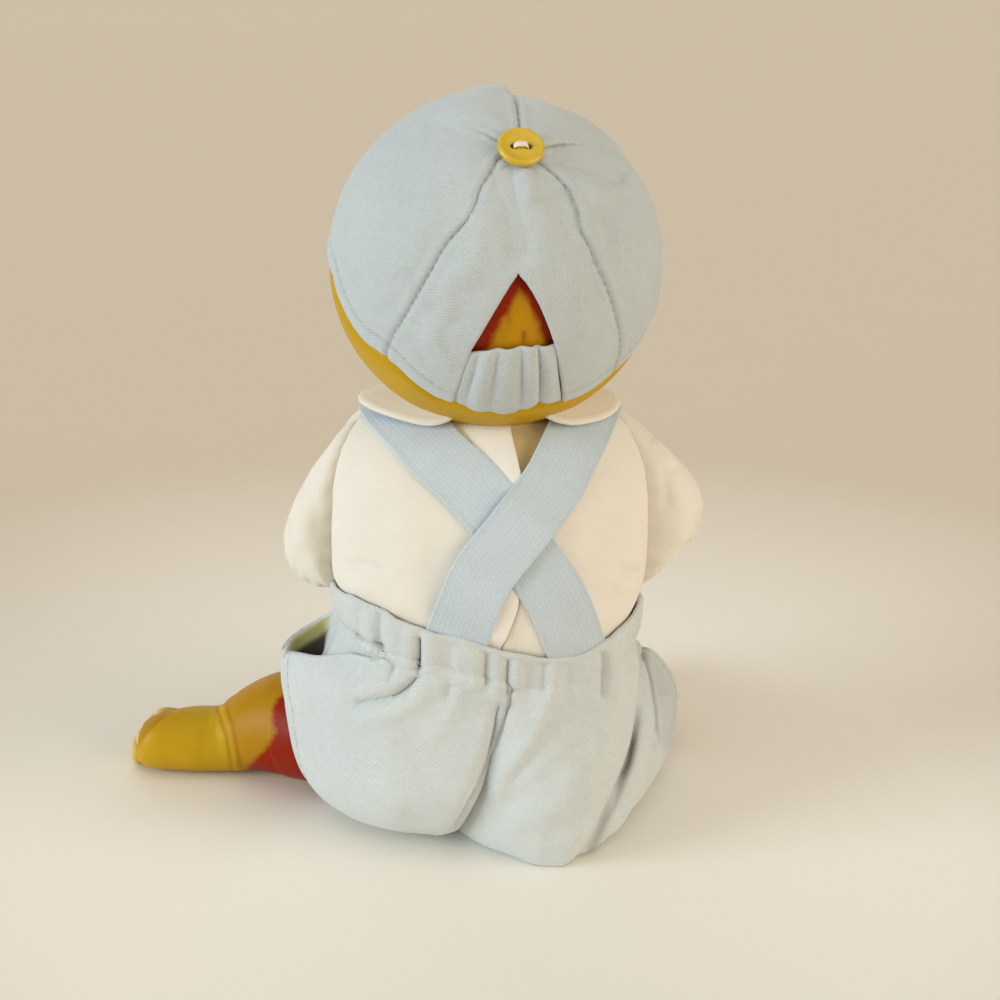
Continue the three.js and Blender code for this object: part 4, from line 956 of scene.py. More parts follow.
SHIRT_FOLDS = [
    ([(344, 567), (366, 564), (392, 573)], -1.0, 5), ([(352, 584), (374, 590)], 0.5, 9), ([(615, 571), (630, 571), (646, 572)], -1.5, 4), ([(612, 584), (640, 587)], 0.7, 8),
    ([(372, 455), (400, 500), (410, 545)], 0.5, 18), ([(600, 470), (625, 520)], 0.5, 16), ([(440, 530), (425, 585)], -0.4, 14), ([(395, 598), (432, 612)], 0.5, 12), ([(575, 590), (600, 625)], 0.5, 12),
]
SLIT = lambda z: smooth(z, [60, 75, 95, 110, 128, 136, 142, 147], [1, -1.2, -7.4, -8.5, -9, -7.5, -6, -5])
SLIT_R = lambda z: SLIT(z) - 0.7 - 16.5 * ramp(z, 128, 150)


def shirt_panel(name, f0, f1, nodes, nv, folds, top=146):
    zs = np.concatenate([np.linspace(58, 137, 74), np.linspace(138, top, 14)])
    P = np.zeros((len(zs), nv + 9, 3))
    c = steps(nv, 0.008)[: nv + 9]
    for i, z in enumerate(zs):
        a, b = f0(z), f1(z)
        P[i] = on_shirt(a + (b - a) * c, z)
    P += normals(P)[..., :] * 0
    N = normals(P)
    if np.sum(N[30, nv // 2] * (P[30, nv // 2] - V(0, 3, 100))) < 0:
        N = -N
        out = -1
    else:
        out = 1
    soft = 0.4 * lumps(P, 21, 7) + 0.18 * lumps(P, 9, 8)
    soft += 0.25 * np.exp(-((P[..., 2] - 80) / 7) ** 2) * np.sin(np.arctan2(P[..., 1] - 3, P[..., 0]) * 17 + 1.3 * lumps(P, 22, 9))
    under = ramp(band_edge(P[..., 0], P[..., 1]) + 4 - P[..., 2], 0, 7)  # drawn in under the band
    P = P + N * (soft * (1 - 0.9 * under) - 0.9 * under)[..., None]
    P = sculpt(P, folds, out=out)
    lu, lv = lengths(P, False)
    edge = np.minimum(lv, lv[:, -1:] - lv)
    seam_and_shade = 0.35 * np.exp(-(((edge - 4.0) / 0.4) ** 2))
    ob = slab(name, P, 1.2, out=out, attrs={"seam_and_shade": seam_and_shade})
    place(ob, "torso", CREAM, nodes)
    sheet(ob)
    return ob


def armhole(z, s):
    """Angle where a panel ends at the side: 0 at every height."""
    a = float(angle_at(200.0, z))
    return a


def shirt():
    left = lambda z: armhole(z, 1)
    right = lambda z: math.pi - armhole(z, 1)
    slit_l = lambda z: float(angle_at(SLIT(z), z))
    slit_r = lambda z: float(angle_at(SLIT_R(z), z))
    shirt_panel("shirt_back_left_cloth", left, slit_l, ["shirt_back_left"], 74, SHIRT_FOLDS)
    shirt_panel("shirt_back_right_cloth", slit_r, right, ["shirt_back_right"], 66, SHIRT_FOLDS)
    shirt_panel("shirt_front_cloth", lambda z: -right(z), lambda z: -left(z), ["shirt_front"], 120, [], 144)  # clear of the turning chin
    # white facing turned out along the left back edge
    zs = np.linspace(60, 146, 70)
    wide = smooth(zs, [60, 74, 86, 96, 112, 126, 136, 146], [13, 12.6, 9.2, 5.6, 1.8, 5, 10.5, 15])
    c = steps(12, 0.06)
    P = np.zeros((len(zs), len(c), 3))
    for i, z in enumerate(zs):
        x = SLIT(z) - 0.5 + wide[i] * c
        P[i] = on_shirt(angle_at(x, z), np.full(len(c), z), -0.4 + 1.4 * ramp(z - BAND_TOP(x), 0, 5) + 0.5 * np.sin(np.pi * c) * ramp(wide[i], 2, 8) * ramp(z - BAND_TOP(x), 0, 8))
    ob = slab("shirt_back_facing", P, 0.9, out=-1 if normals(P)[30, 6][1] < 0 else 1, attrs={"seam_and_shade": np.zeros(P.shape[:2])})
    place(ob, "torso", WHITE)
    sheet(ob)
    # stuffed body under the shirt
    zs = [6, 6.6, 10, 17, 27, 40, 54, 66, 78, 90, 105, 118, 128, 135, 140, 143.2, 144.2, 144.4]
    rx = [0, 18, 28, 36, 40, 41, 41.5, 42, 45, 47.6, 48.6, 47.4, 44.6, 40.6, 34, 25, 17.5, 17]
    ry = [0, 12, 19, 25.6, 29.4, 32, 33.6, 35, 37.4, 38.6, 37.4, 34.6, 30.6, 26.4, 21.6, 17.6, 17.5, 17]
    z = np.linspace(0, len(zs) - 1, 70)
    zz, xx, yy = (smooth(z, np.arange(len(zs)), q) for q in (zs, rx, ry))
    f = np.linspace(0, 2 * np.pi, 90, endpoint=False)
    P = np.stack([xx[:, None] * spow(np.cos(f), 2 / 2.3) - 2 * ramp(zz, 138, 144)[:, None], 4 + yy[:, None] * spow(np.sin(f), 2 / 2.3), zz[:, None] * np.ones(90)], -1)
    P += unit(P - V(0, 4, 90)) * (0.5 * lumps(P, 13, 11))[..., None]
    ob = skin("stuffed_body", P, out=-1 if normals(P, True)[30, 0][0] < 0 else 1, attrs={"seam_and_shade": np.zeros(P.shape[:2])})
    place(ob, "torso", BODY, ["cloth_body"])


shirt()


def collar(s):
    a0, a1 = (24, 160) if s > 0 else (30, 160)
    uu, vv = steps(64, 0.02), steps(24, 0.05)
    P = np.zeros((len(uu), len(vv), 3))
    for i, k in enumerate(uu):
        a = rad(a0 + (a1 - a0) * k)
        tip = min(1.0, min(k, 1 - k) / 0.16)
        edge = math.sqrt(max(0.0, 1 - (1 - tip) ** 2))
        ro = 1 / math.hypot(math.sin(a) / (42.2 if s > 0 else 40.6), math.cos(a) / (26.0 if s > 0 else 28.0))
        for j, q in enumerate(vv):
            r = 21.5 + (ro - 21.5) * (0.16 + 0.84 * edge) * q
            w = (r - 21.5) / (ro - 21.5)
            roll = 1.8 * math.exp(-(((w - 0.25) / 0.3) ** 2))
            z = 149.6 - 4.6 * w**2.2 + roll + 0.5 * math.sin(5 * a + s) * w + (2.6 * math.sin(a) ** 2 * w if s > 0 else 0.4 * w)
            P[i, j] = V(-1 + s * r * math.sin(a), 4 + r * math.cos(a), z)
    lu, lv = lengths(P, False)
    edge = np.minimum(lv[:, -1:] - lv, np.minimum(lu, lu[-1:] - lu))
    seam_and_shade = 0.3 * np.exp(-(((edge - 2.4) / 0.35) ** 2))
    ob = slab("collar_wing_" + ("left" if s > 0 else "right"), P, 2.0, out=1 if normals(P)[30, 12][2] > 0 else -1, attrs={"seam_and_shade": seam_and_shade})
    place(ob, "torso", CREAM, ["collar_left" if s > 0 else "collar_right"])
    sheet(ob)


collar(1)
collar(-1)

# ------------------------------------------------------------- the suspenders
ARC = V(0, 3, 104)


def reach(x, al, off=0.0):
    """Point on the shirt's outside at x, looking out from the torso axis at angle al in the YZ plane."""
    lo, hi = np.full(np.shape(al), 5.0), np.full(np.shape(al), 80.0)
    for _ in range(36):
        m = (lo + hi) / 2
        y, z = ARC[1] + m * np.cos(al), ARC[2] + m * np.sin(al)
        rx, ry = shirt_half(np.clip(z, 56, 146))
        inside = (np.abs(x / rx) ** NEXP + np.abs((y - 3) / ry) ** NEXP < 1) & (z < 146)
        lo, hi = np.where(inside, m, lo), np.where(inside, hi, m)
    return np.stack([x, ARC[1] + lo * np.cos(al), ARC[2] + lo * np.sin(al)], -1)


def strap_point(px, py):
    """x and angle of the shirt point seen at a pixel."""
    d = sight(px, py)
    for k in np.arange(480, 700, 0.5):
        q = EYE + d * k
        rx, ry = shirt_half(np.clip(q[2], 56, 146))
        if q[2] < 146.5 and abs(q[0] / rx) ** NEXP + abs((q[1] - 3) / (ry + 1.5)) ** NEXP < 1:
            return q[0], math.atan2(q[2] - ARC[2], q[1] - ARC[1])
    return None


def suspender(name, nodes, line, top, front, over):
    pts = sorted(p[::-1] for p in (strap_point(*p) for p in line) if p and p[1] < rad(64))
    al = np.array([p[0] for p in pts])
    xs = np.array([p[1] for p in pts])
    al = np.concatenate([[rad(-44)], al, [rad(82), rad(98), rad(122), rad(170), rad(222)]])
    lead = xs[0] + (xs[0] - xs[1]) / max(al[2] - al[1], 1e-6) * (al[1] - rad(-44))
    xs = np.concatenate([[lead], xs, [top * 0.95, top, top * 0.98, front * 1.06, front]])
    A = np.linspace(rad(-43), rad(221), 150)
    C = np.stack([smooth(A, al, xs), A], -1)
    cen = reach(C[:, 0], C[:, 1])
    T = unit(np.gradient(cen, axis=0))
    e = 0.02
    nrm = unit(np.cross(reach(C[:, 0], C[:, 1] + e) - reach(C[:, 0], C[:, 1] - e), reach(C[:, 0] + 1, C[:, 1]) - reach(C[:, 0] - 1, C[:, 1])))
    nrm = nrm * np.sign(np.sum(nrm * (cen - ARC), -1))[:, None]
    for _ in range(6):
        nrm[1:-1] = unit((nrm[:-2] + 2 * nrm[1:-1] + nrm[2:]) / 4)
    W = unit(np.cross(T, nrm))
    vv = steps(30, 0.035)
    P = np.zeros((len(A), len(vv), 3))
    lift = over * 1.9 * ramp((22 - np.abs(A - rad(4)) * 42) / 9, 0, 1)
    for j, q in enumerate(vv):
        flat = cen + W * (q - 0.5) * 19.4
        # drop each point back on to the shirt
        al2 = np.arctan2(flat[:, 2] - ARC[2], flat[:, 1] - ARC[1])
        on = reach(flat[:, 0], al2)
        clear = on[:, 2] - band_edge(on[:, 0], on[:, 1])
        P[:, j] = on + nrm * (-0.5 + 1.75 * ramp(clear, -7, 6) + lift * ramp(clear, 1, 8) + 0.22 * ramp(abs(2 * q - 1), 0.86, 0.95))[:, None]
    P += nrm[:, None] * (0.25 * lumps(P, 14, 21 + over))[..., None]
    out = 1 if np.sum(normals(P)[40, 15] * nrm[40]) > 0 else -1
    ob = slab(name, P, 1.4, edges=(1, 1, 1, 1), out=out, attrs={"seam_and_shade": 0.35 * np.tile(np.exp(-((np.minimum(vv, 1 - vv) - 0.05) / 0.012) ** 2), (len(A), 1))})
    place(ob, "torso", ELASTIC, nodes)
    sheet(ob, w=0.019)
    return reach


suspender("suspender_left_elastic", ["suspender_left"], [(411.5, 421), (433.5, 447.5), (469.5, 482), (490, 506), (527, 556), (558, 606), (575, 652)], 31.5, 24, 0)
suspender("suspender_right_elastic", ["suspender_right"], [(588, 426), (557, 474), (517, 530), (480, 580), (461, 630)], -33, -24, 1)

for side, s in (("left", 1), ("right", -1)):
    x, al = np.array(24.0 * s), np.array(rad(207))
    at = reach(x, al)
    n = unit(np.cross(reach(x, al + 0.02) - reach(x, al - 0.02), reach(x + 1, al) - reach(x - 1, al)))
    n = n * np.sign(np.sum(n * (at - ARC)))
    prof = np.array([(0, 0), (5.2, 0), (6.1, 0.5), (6.5, 1.2), (6.3, 1.9), (5.6, 2.2), (4.8, 1.9), (4.0, 1.5), (2, 1.35), (0, 1.3)])
    L = np.concatenate([[0], np.cumsum(np.linalg.norm(np.diff(prof, axis=0), axis=1))])
    o = at + n * 2.5
    P = turned(smooth(np.linspace(0, L[-1], 44), L, prof), 56, o, n)
    tint = np.zeros((*P.shape[:2], 4))
    a = unit(np.cross(n, V(1, 0, 0)))
    b = np.cross(n, a)
    for i in (1, -1):
        for k in (1, -1):
            q = np.linalg.norm(P - (o + a * 1.5 * i + b * 1.5 * k + n * 1.35), axis=-1)
            hole = ramp(1.0 - q, 0, 0.4) * (((P - o) @ n) > 0.8)
            P = P - n * (0.8 * hole)[..., None]
            # painted shade: the hole dimples dark brown
            tint[..., :3] = V(0.10, 0.045, 0.004)
            tint[..., 3] = np.maximum(tint[..., 3], 0.9 * hole)
    place(skin("suspender_front_button_" + side, P, tint=tint), "torso", BUTTON, ["suspender_button_" + side])

# --------------------------------------------------------------- the waistband
# soft gathers that run from the band into the cloth below it
GATHERS = [
    ([(419.5, 634), (420, 650), (419, 674)], -2.4, 3.6, 0.15), ([(410, 628), (409, 668)], 1.0, 7, 0.1), ([(431, 632), (432, 672)], 0.9, 7, 0.1),
    ([(380.5, 610), (380.5, 640), (387, 658)], -1.1, 5, 0.1), ([(371, 607), (372, 655)], 0.8, 6), ([(360, 602), (361, 650)], -0.6, 6), ([(392, 616), (395, 655)], 0.8, 6),
    ([(486, 650), (485, 688)], -1.2, 5, 0.1), ([(475, 648), (474, 692)], 1.0, 6), ([(497, 655), (495, 702)], 0.7, 6), ([(508.5, 656), (507, 698)], -1.3, 4.6, 0.1), ([(516, 658), (514, 704)], 1.0, 5),
    ([(544, 660), (543, 694)], -1.1, 5, 0.1), ([(552, 662), (549, 696), (533, 734), (508, 772), (492, 800)], 1.3, 9, 0.1), ([(530, 660), (527, 700)], -0.6, 6), ([(602, 648), (601, 700)], -1.4, 5, 0.12),
    ([(611, 642), (610, 702)], 1.0, 7), ([(590, 654), (588, 702)], 0.7, 7), ([(570, 660), (566, 706)], -0.7, 7), ([(626, 626), (628, 692)], -0.7, 6), ([(450, 638), (450, 690)], -0.5, 8), ([(463, 642), (460, 702)], 0.6, 8),
]
def waistband():
    nv = 420
    f = np.linspace(0, 2 * np.pi, nv, endpoint=False)
    s = np.concatenate([np.linspace(-0.75, 0, 10)[:-1], steps(30, 0.03)])
    P = np.zeros((len(s), nv, 3))
    rng = np.random.RandomState(5)
    k = f / (2 * np.pi)
    g = np.zeros(nv)
    for c0 in np.cumsum(rng.uniform(0.012, 0.027, 60)):
        if c0 < 1:
            w = rng.uniform(0.0045, 0.0085)
            dd = np.abs((k - c0 + 0.5) % 1 - 0.5)
            g += rng.uniform(0.3, 1.0) * np.exp(-((dd / w) ** 2))
    g *= np.where(np.sin(f) > 0.12, 0.3, 0.8)  # the seen side takes its own gathers below
    for i, q in enumerate(s):
        xs = 48.8 * spow(np.cos(f), 2 / NEXP)
        zt = np.where(np.sin(f) > 0, BAND_TOP(xs), smooth(xs, [-50, 0, 50], [_gz[0], 77.5, _gz[-1]]))
        for _ in range(4):
            zt = (np.roll(zt, 1) + 2 * zt + np.roll(zt, -1)) / 4
        z = zt - 16.8 * (1 - q)
        z = z + 0.3 * np.sin(f * 9 + 0.7) * max(q, 0.0) + 0.2 * np.sin(f * 23) * max(q, 0.0)
        rx, ry = smooth(z, SHIRT[:, 0], SHIRT[:, 1]), smooth(z, SHIRT[:, 0], SHIRT[:, 2])
        qq = max(q, 0.0)
        off = -0.4 + 2.2 * ramp(qq, 0.0, 0.42) - 0.5 * ramp(qq, 0.55, 1.0) + 0.2 * math.sin(math.pi * qq) + g * (0.75 + 0.25 * math.sin(math.pi * qq)) * ramp(q, -0.3, 0.0)
        P[i] = np.stack([(rx + off) * spow(np.cos(f), 2 / NEXP), 3 + (ry + off) * spow(np.sin(f), 2 / NEXP), z], -1)
    out = 1 if normals(P, True)[15, 0][0] > 0 else -1
    P = sculpt(P, GATHERS, True, out)
    seam_and_shade = np.zeros(P.shape[:2])
    x, y = pixel(P)
    # painted shade down the deepest gather valleys on the seen side
    for line, w, k in (([(419.5, 640), (420, 652), (419, 674)], 1.8, 0.7), ([(602, 652), (601, 690)], 3, 0.3), ([(508.5, 660), (507, 690)], 2.6, 0.3), ([(486, 656), (485, 684)], 2.6, 0.3), ([(544, 664), (543, 690)], 2.6, 0.25)):
        seam_and_shade += k * np.exp(-((stroke(x, y, line)[0] / w) ** 2)) * (np.sin(f) > 0)
    ob = slab("waistband_gathered", P, 1.9, wrap=True, edges=(1, 1, 0, 0), out=out, attrs={"seam_and_shade": np.clip(seam_and_shade, 0, 1)})
    place(ob, "torso", BLUE, ["waistband"])
    sheet(ob, 1.2, w=0.029)


waistband()

# ---------------------------------------------------------------- the trousers
SEAM_X = lambda z: smooth(z, [0, 10, 20, 30, 40, 50, 60, 70], [13.5, 10.5, 7, 3.5, 0.5, -2.5, -4.5, -5])
# left half, sections from the centre-back seam to the hem: centre x, y, turn (degrees), back, front, low, high
LEFT_T = np.array([
    [-3, 6, 0, 36.8, 42, 1.2, 72], [4, 6, 0, 38.6, 42, 0.4, 74], [14, 5, 2, 39.2, 41, 0.2, 76], [24, 3, 10, 38.8, 38, 0.2, 77], [33, -1.5, 20, 37, 34, 0.3, 74],
    [41, -7, 28, 33.4, 30, 0.6, 68], [48, -12.2, 31, 28.8, 27, 0.9, 64.5], [52.6, -15.6, 31.4, 25, 24.5, 1.4, 62], [55.4, -17.4, 31.4, 23, 23.5, 1.8, 60.6]])
SEAT_FOLDS = GATHERS + [
    # centre-back seam and the pleat beside it
    ([(499, 704), (495, 722), (490, 745), (486, 759), (473, 791), (459, 816), (452, 828)], -1.1, 3.2, 0.03), ([(503, 708), (499, 735), (489, 763)], 1.0, 4.5), ([(508.5, 700), (503, 728), (497, 746), (484, 769)], -0.8, 3.4),
    ([(488, 706), (478, 752), (452, 806)], 0.9, 7),
    # big tuck beside the left pocket
    ([(419, 674), (411, 686), (395, 696), (373, 701), (352, 704)], -2.6, 5.0, 0.1), ([(428, 684), (415, 702), (390, 713), (355, 716)], 1.4, 9), ([(400, 676), (388, 684), (360, 688)], 1.2, 8), ([(395, 664), (393, 674), (389, 683)], -1.4, 4),
    # slack, slanting folds
    ([(462, 694), (445, 722), (424, 746)], 0.8, 10), ([(452, 682), (447, 700)], -0.9, 6), ([(600, 738), (560, 772), (505, 808)], -0.9, 11), ([(612, 725), (575, 765), (520, 800)], 0.9, 12), ([(596, 772), (560, 805), (500, 828)], 0.8, 13),
    ([(575, 712), (540, 752), (500, 790)], -0.8, 8), ([(340, 760), (372, 795), (412, 812)], 0.6, 14), ([(310, 700), (330, 740), (352, 775)], -0.5, 12), ([(565, 815), (545, 842)], -0.6, 10),
]


def at_y(x, y, depth):
    """Point of an upright cross plane seen at a pixel."""
    d = sight(x, y)
    return EYE + d * ((depth - EYE[1]) / d[1])


def ring_at(a, rx, ry):
    a = rad(a)
    return V(rx * spow(math.cos(a), 2 / NEXP), 3 + ry * spow(math.sin(a), 2 / NEXP), 0)


MOUTH_Q = [0, 0.08, 0.2, 0.36, 0.46, 0.58, 0.72, 0.86, 1]  # along the pocket, from the hem


def trousers_left():
    s, T = 1, LEFT_T
    nu, nv = 120, 190
    L = np.concatenate([[0], np.cumsum(np.linalg.norm(np.diff(T[:, :2], axis=0), axis=1))])
    t = np.concatenate([np.linspace(0, L[-1] - 2.2, nu), L[-1] - V(1.6, 1.1, 0.6, 0.3, 0.1, 0)])
    Q = smooth(t, L, T)
    f = np.linspace(0, 2 * np.pi, nv, endpoint=False)  # 0 back, 90 top, 180 front
    c, sn = np.cos(f), np.sin(f)
    turn = np.radians(Q[:, 2])[:, None]
    n = np.stack([np.sin(turn) * np.ones(nv), np.cos(turn) * np.ones(nv), np.zeros((len(t), nv))], -1)
    tan = np.stack([np.cos(turn) * np.ones(nv), -np.sin(turn) * np.ones(nv), np.zeros((len(t), nv))], -1)
    k = (t / L[-1])[:, None]
    near = 1 - ramp(k, 0.45, 1.0)  # square shoulders under the band, round at the hem
    e = 2 / np.where(sn > 0, 2.5 + 2.2 * near, np.where(c > 0, 2.1, 2.5))
    wide = np.where(c > 0, Q[:, 3:4], Q[:, 4:5]) * spow(c, e)
    z = 30.5 + np.where(sn > 0, Q[:, 6:7] - 30.5, 30.5 - Q[:, 5:6]) * spow(sn, e)
    P = np.stack([Q[:, 0:1] * np.ones(nv), Q[:, 1:2] * np.ones(nv), z], -1) + n * wide[..., None]
    P[..., 0] += (1 - ramp(k, 0.0, 0.42)) * ramp(c, -0.1, 0.5) * (SEAM_X(z) + 3)
    # the hem leans out at the top and in at the bottom
    P += tan * (ramp(k, 0.5, 1.0) * (0.17 * (z - 34) + 0.2 * np.maximum(z - 42, 0) - 2.0 * ramp(10 - z, 0, 10)))[..., None]
    # the back of the top edge is sewn to the band: draw it out to the band's size
    ph = np.arctan2(P[..., 1] - 3, P[..., 0])
    drum = np.hypot(48.6 * spow(np.cos(ph), 2 / NEXP), 42.7 * spow(np.sin(ph), 2 / NEXP))
    here = np.hypot(P[..., 0], P[..., 1] - 3)
    up = z - BAND_LOW(P[..., 0])
    sewn = ramp(up, -11, 0) * ramp(P[..., 1], 12, 26) * (1 - ramp(k, 0.55, 0.75))
    want = drum - 3.6 * ramp(up, 4.0, 9.5)
    ahead = z - (band_edge(P[..., 0], -9.0) - 16.8)  # the front of the top edge likewise
    sewn_f = ramp(ahead, -12, 0) * ramp(-P[..., 1], 10, 24) * (1 - ramp(k, 0.6, 0.8))
    want = np.where(P[..., 1] < 3, drum - 3.6 * ramp(ahead, 4.0, 9.5), want)
    P[..., :2] = V(0, 3) + (P[..., :2] - V(0, 3)) * (1 + np.maximum(sewn, sewn_f) * (want / np.maximum(here, 1) - 1))[..., None]
    # pocket mouth: the cloth in front of it follows the far lip, then the band
    jn, jf = (int(np.argmin(np.abs(f - rad(a)))) for a in (52, 98))
    rows = np.nonzero(P[:, jn, 0] > 36.5)[0]
    q = np.clip((len(t) - 1 - np.arange(len(t))) / (len(rows) - 1), 0, 1)
    line = [P[-1, jn] + V(0.4, -1.5, 0.4), at_y(285, 646, -3), at_y(301, 632.5, -6), at_y(322, 618.5, -7), at_y(335, 611, -2)]
    for a in (2, -8, -18, -28):
        b = ring_at(a, 47.4, 41.2)
        line.append(b + V(0, 0, float(band_edge(b[0], b[1] - 3.1)) - 16.8 + 7))
    move = smooth(q, MOUTH_Q, np.array(line)) - P[:, jf]
    move *= (1 - ramp(36.5 - P[:, jn, 0], 0, 9))[:, None]
    P = P + move[:, None] * np.where(f >= f[jf] - 1e-6, 1 - ramp(f, f[jf], rad(172)), ramp(f, f[jn], f[jf]))[None, :, None] * (f > f[jn])[None, :, None]
    # the inner end of the mouth is drawn in behind the pocket's panel
    at_row, at_col = np.arange(len(t), dtype=float), np.arange(nv, dtype=float)
    inn = ramp(at_row, rows[0] - 9, rows[0] - 2)[:, None] * (ramp(at_col, jn, jn + 5) * (1 - ramp(at_col, jf - 5, jf)))[None]
    ph = np.arctan2(P[..., 1] - 3, P[..., 0])
    drum = np.hypot(48.6 * spow(np.cos(ph), 2 / NEXP), 42.7 * spow(np.sin(ph), 2 / NEXP))
    here = np.hypot(P[..., 0], P[..., 1] - 3)
    P[..., :2] = V(0, 3) + (P[..., :2] - V(0, 3)) * (1 + inn * (np.minimum((drum - 3.6) / np.maximum(here, 1), 1) - 1))[..., None]
    N = normals(P, True)
    out = 1 if np.sum(N[30, 0] * n[30, 0]) > 0 else -1
    soft = (0.7 * lumps(P, 22, 32) + 0.35 * lumps(P, 10, 34)) * ramp(z, 0.5, 7)
    P = P + N * out * soft[..., None]
    P = sculpt(P, SEAT_FOLDS, True, out)
    P[..., 2] = np.maximum(P[..., 2], 0.95)
    low = (L[-1] - t)[:, None] * np.ones(nv)
    seam_and_shade = 0.4 * np.exp(-(((low - 6.5) / 0.5) ** 2)) + 0.8 * np.exp(-(((k * L[-1]) / 1.0) ** 2))
    x, y = pixel(P)
    back = ramp(c, -0.2, 0.2)
    # painted shade down the big tuck and under the pocket's lip; the centre-back seam darker too
    for line, w in (([(419.5, 640), (420, 650), (419, 676), (412, 686), (398, 695)], 2.6), ([(499, 704), (496, 722), (492, 740)], 3.0), ([(373, 659), (387, 657), (395, 664)], 1.6)):
        seam_and_shade = seam_and_shade + 0.6 * np.exp(-((stroke(x, y, line)[0] / w) ** 2)) * back
    cut = np.zeros((len(t) - 1, nv), bool)
    cut[rows[0]:, jn:jf] = True  # open top of the pocket
    ob = slab("trousers_left", P, 1.9, wrap=True, edges=(1, 1, 0, 0), out=out, attrs={"seam_and_shade": np.clip(seam_and_shade, 0, 1)}, split=cut)
    hip = V(30, -4, 30.5) * 0.001
    d = unit(V(*tan[-1, 0])) * 0.001
    bend = ("torso", "left_leg", tuple(hip - d * 6), tuple(hip + d * 24))
    place(ob, None, BLUE, ["pants_seat", "left_pants_leg"], bend)
    sheet(ob, 1.15)
    row = int(np.argmin(np.abs(low[:, 0] - 6.5)))
    Nn = normals(P, True) * out
    turn = np.concatenate([np.arange(jf + 1, nv), np.arange(0, jn)])
    st = stitches("trouser_hem_stitches_left", P[row, turn] + Nn[row, turn] * 0.95, Nn[row, turn], 2.2, 1.8, 0.18, 0.06)
    place(st, None, PALE_THREAD, (), bend)
    tuck = np.arange(rows[0] - 5, rows[0])  # the pocket's panel goes on under the tuck
    near = np.concatenate([P[tuck, jn] - Nn[tuck, jn] * np.linspace(3.4, 1.0, 5)[:, None], P[rows, jn]])
    return near[::-1], P[rows, jf][::-1], len(rows), bend


# right seat: outlines in plan at several heights, from inside the back seam round the side to the front
RIGHT_Z = [0.95, 5, 12, 22, 33, 44, 54, 61, 67, 74]
RIGHT_XY = np.array([
    [(26, 2), (13, 14), (4, 26), (-6, 34.3), (-16, 41), (-23.5, 42), (-28, 38), (-30.5, 28), (-31, 8), (-32, -14), (-20, -28), (0, -31)],
    [(24, 9), (11.8, 21), (3, 32.5), (-7, 39.5), (-16.5, 44), (-24.8, 44.2), (-30.8, 39), (-33.5, 28), (-33.5, 8), (-34, -16), (-21, -31), (0, -34)],
    [(21, 18), (9.6, 30), (1, 38.5), (-8, 43.8), (-17.5, 46.5), (-26.8, 46), (-33.8, 40), (-37, 28.5), (-38, 7), (-36, -18), (-22, -33), (0, -36)],
    [(17, 25), (6.3, 37), (-2, 42.8), (-10, 46.3), (-19.5, 47.6), (-29.6, 45.8), (-37.2, 38.8), (-41.4, 27), (-41, 5), (-38, -19), (-23, -35), (0, -38)],
    [(13, 30), (2.6, 41), (-5, 45), (-12.5, 47.2), (-22, 47.3), (-32, 44.2), (-40.4, 36.8), (-45.3, 24.5), (-44, 3), (-40, -20), (-24, -36), (0, -39)],
    [(9, 32), (-0.8, 42.8), (-8, 45.9), (-15, 46.9), (-24, 45.8), (-33.6, 42), (-42.2, 34.2), (-47.6, 22), (-46, 1), (-41, -20), (-25, -36), (0, -39)],
    [(6, 33), (-3.4, 43.6), (-10, 45.9), (-16.5, 46), (-25.5, 43.8), (-34.6, 39.2), (-43, 31), (-48.6, 19), (-47.6, 0), (-42, -21.5), (-25.5, -37), (3, -39.6)],
    [(5, 33.5), (-4.6, 44), (-10.5, 45.4), (-17, 45), (-26, 42.3), (-35, 37.3), (-43.4, 28.9), (-48.9, 17), (-48, -1), (-43, -21.5), (-26, -37.3), (3, -40)],
    [(4, 33), (-4.8, 41.3), (-10.5, 42.6), (-17, 42.2), (-26, 39.6), (-34.4, 34.8), (-42, 27), (-47, 15.5), (-46, -2), (-43, -21.5), (-26, -37.3), (3, -40)],
    [(3, 31), (-5, 38), (-10, 39.4), (-16.5, 39), (-25, 36.5), (-33, 32), (-40, 24.5), (-45, 14), (-44, -2), (-40, -19), (-24, -34), (3, -37)]], float)
# drawn in at the side, beside the right leg
RIGHT_XY[:, 4:9, 0] += np.outer([1, 1, 1, 1, 1, 0.85, 0.7, 0.55, 0.45, 0.35], [1.0, 2.0, 2.4, 2.4, 1.5])


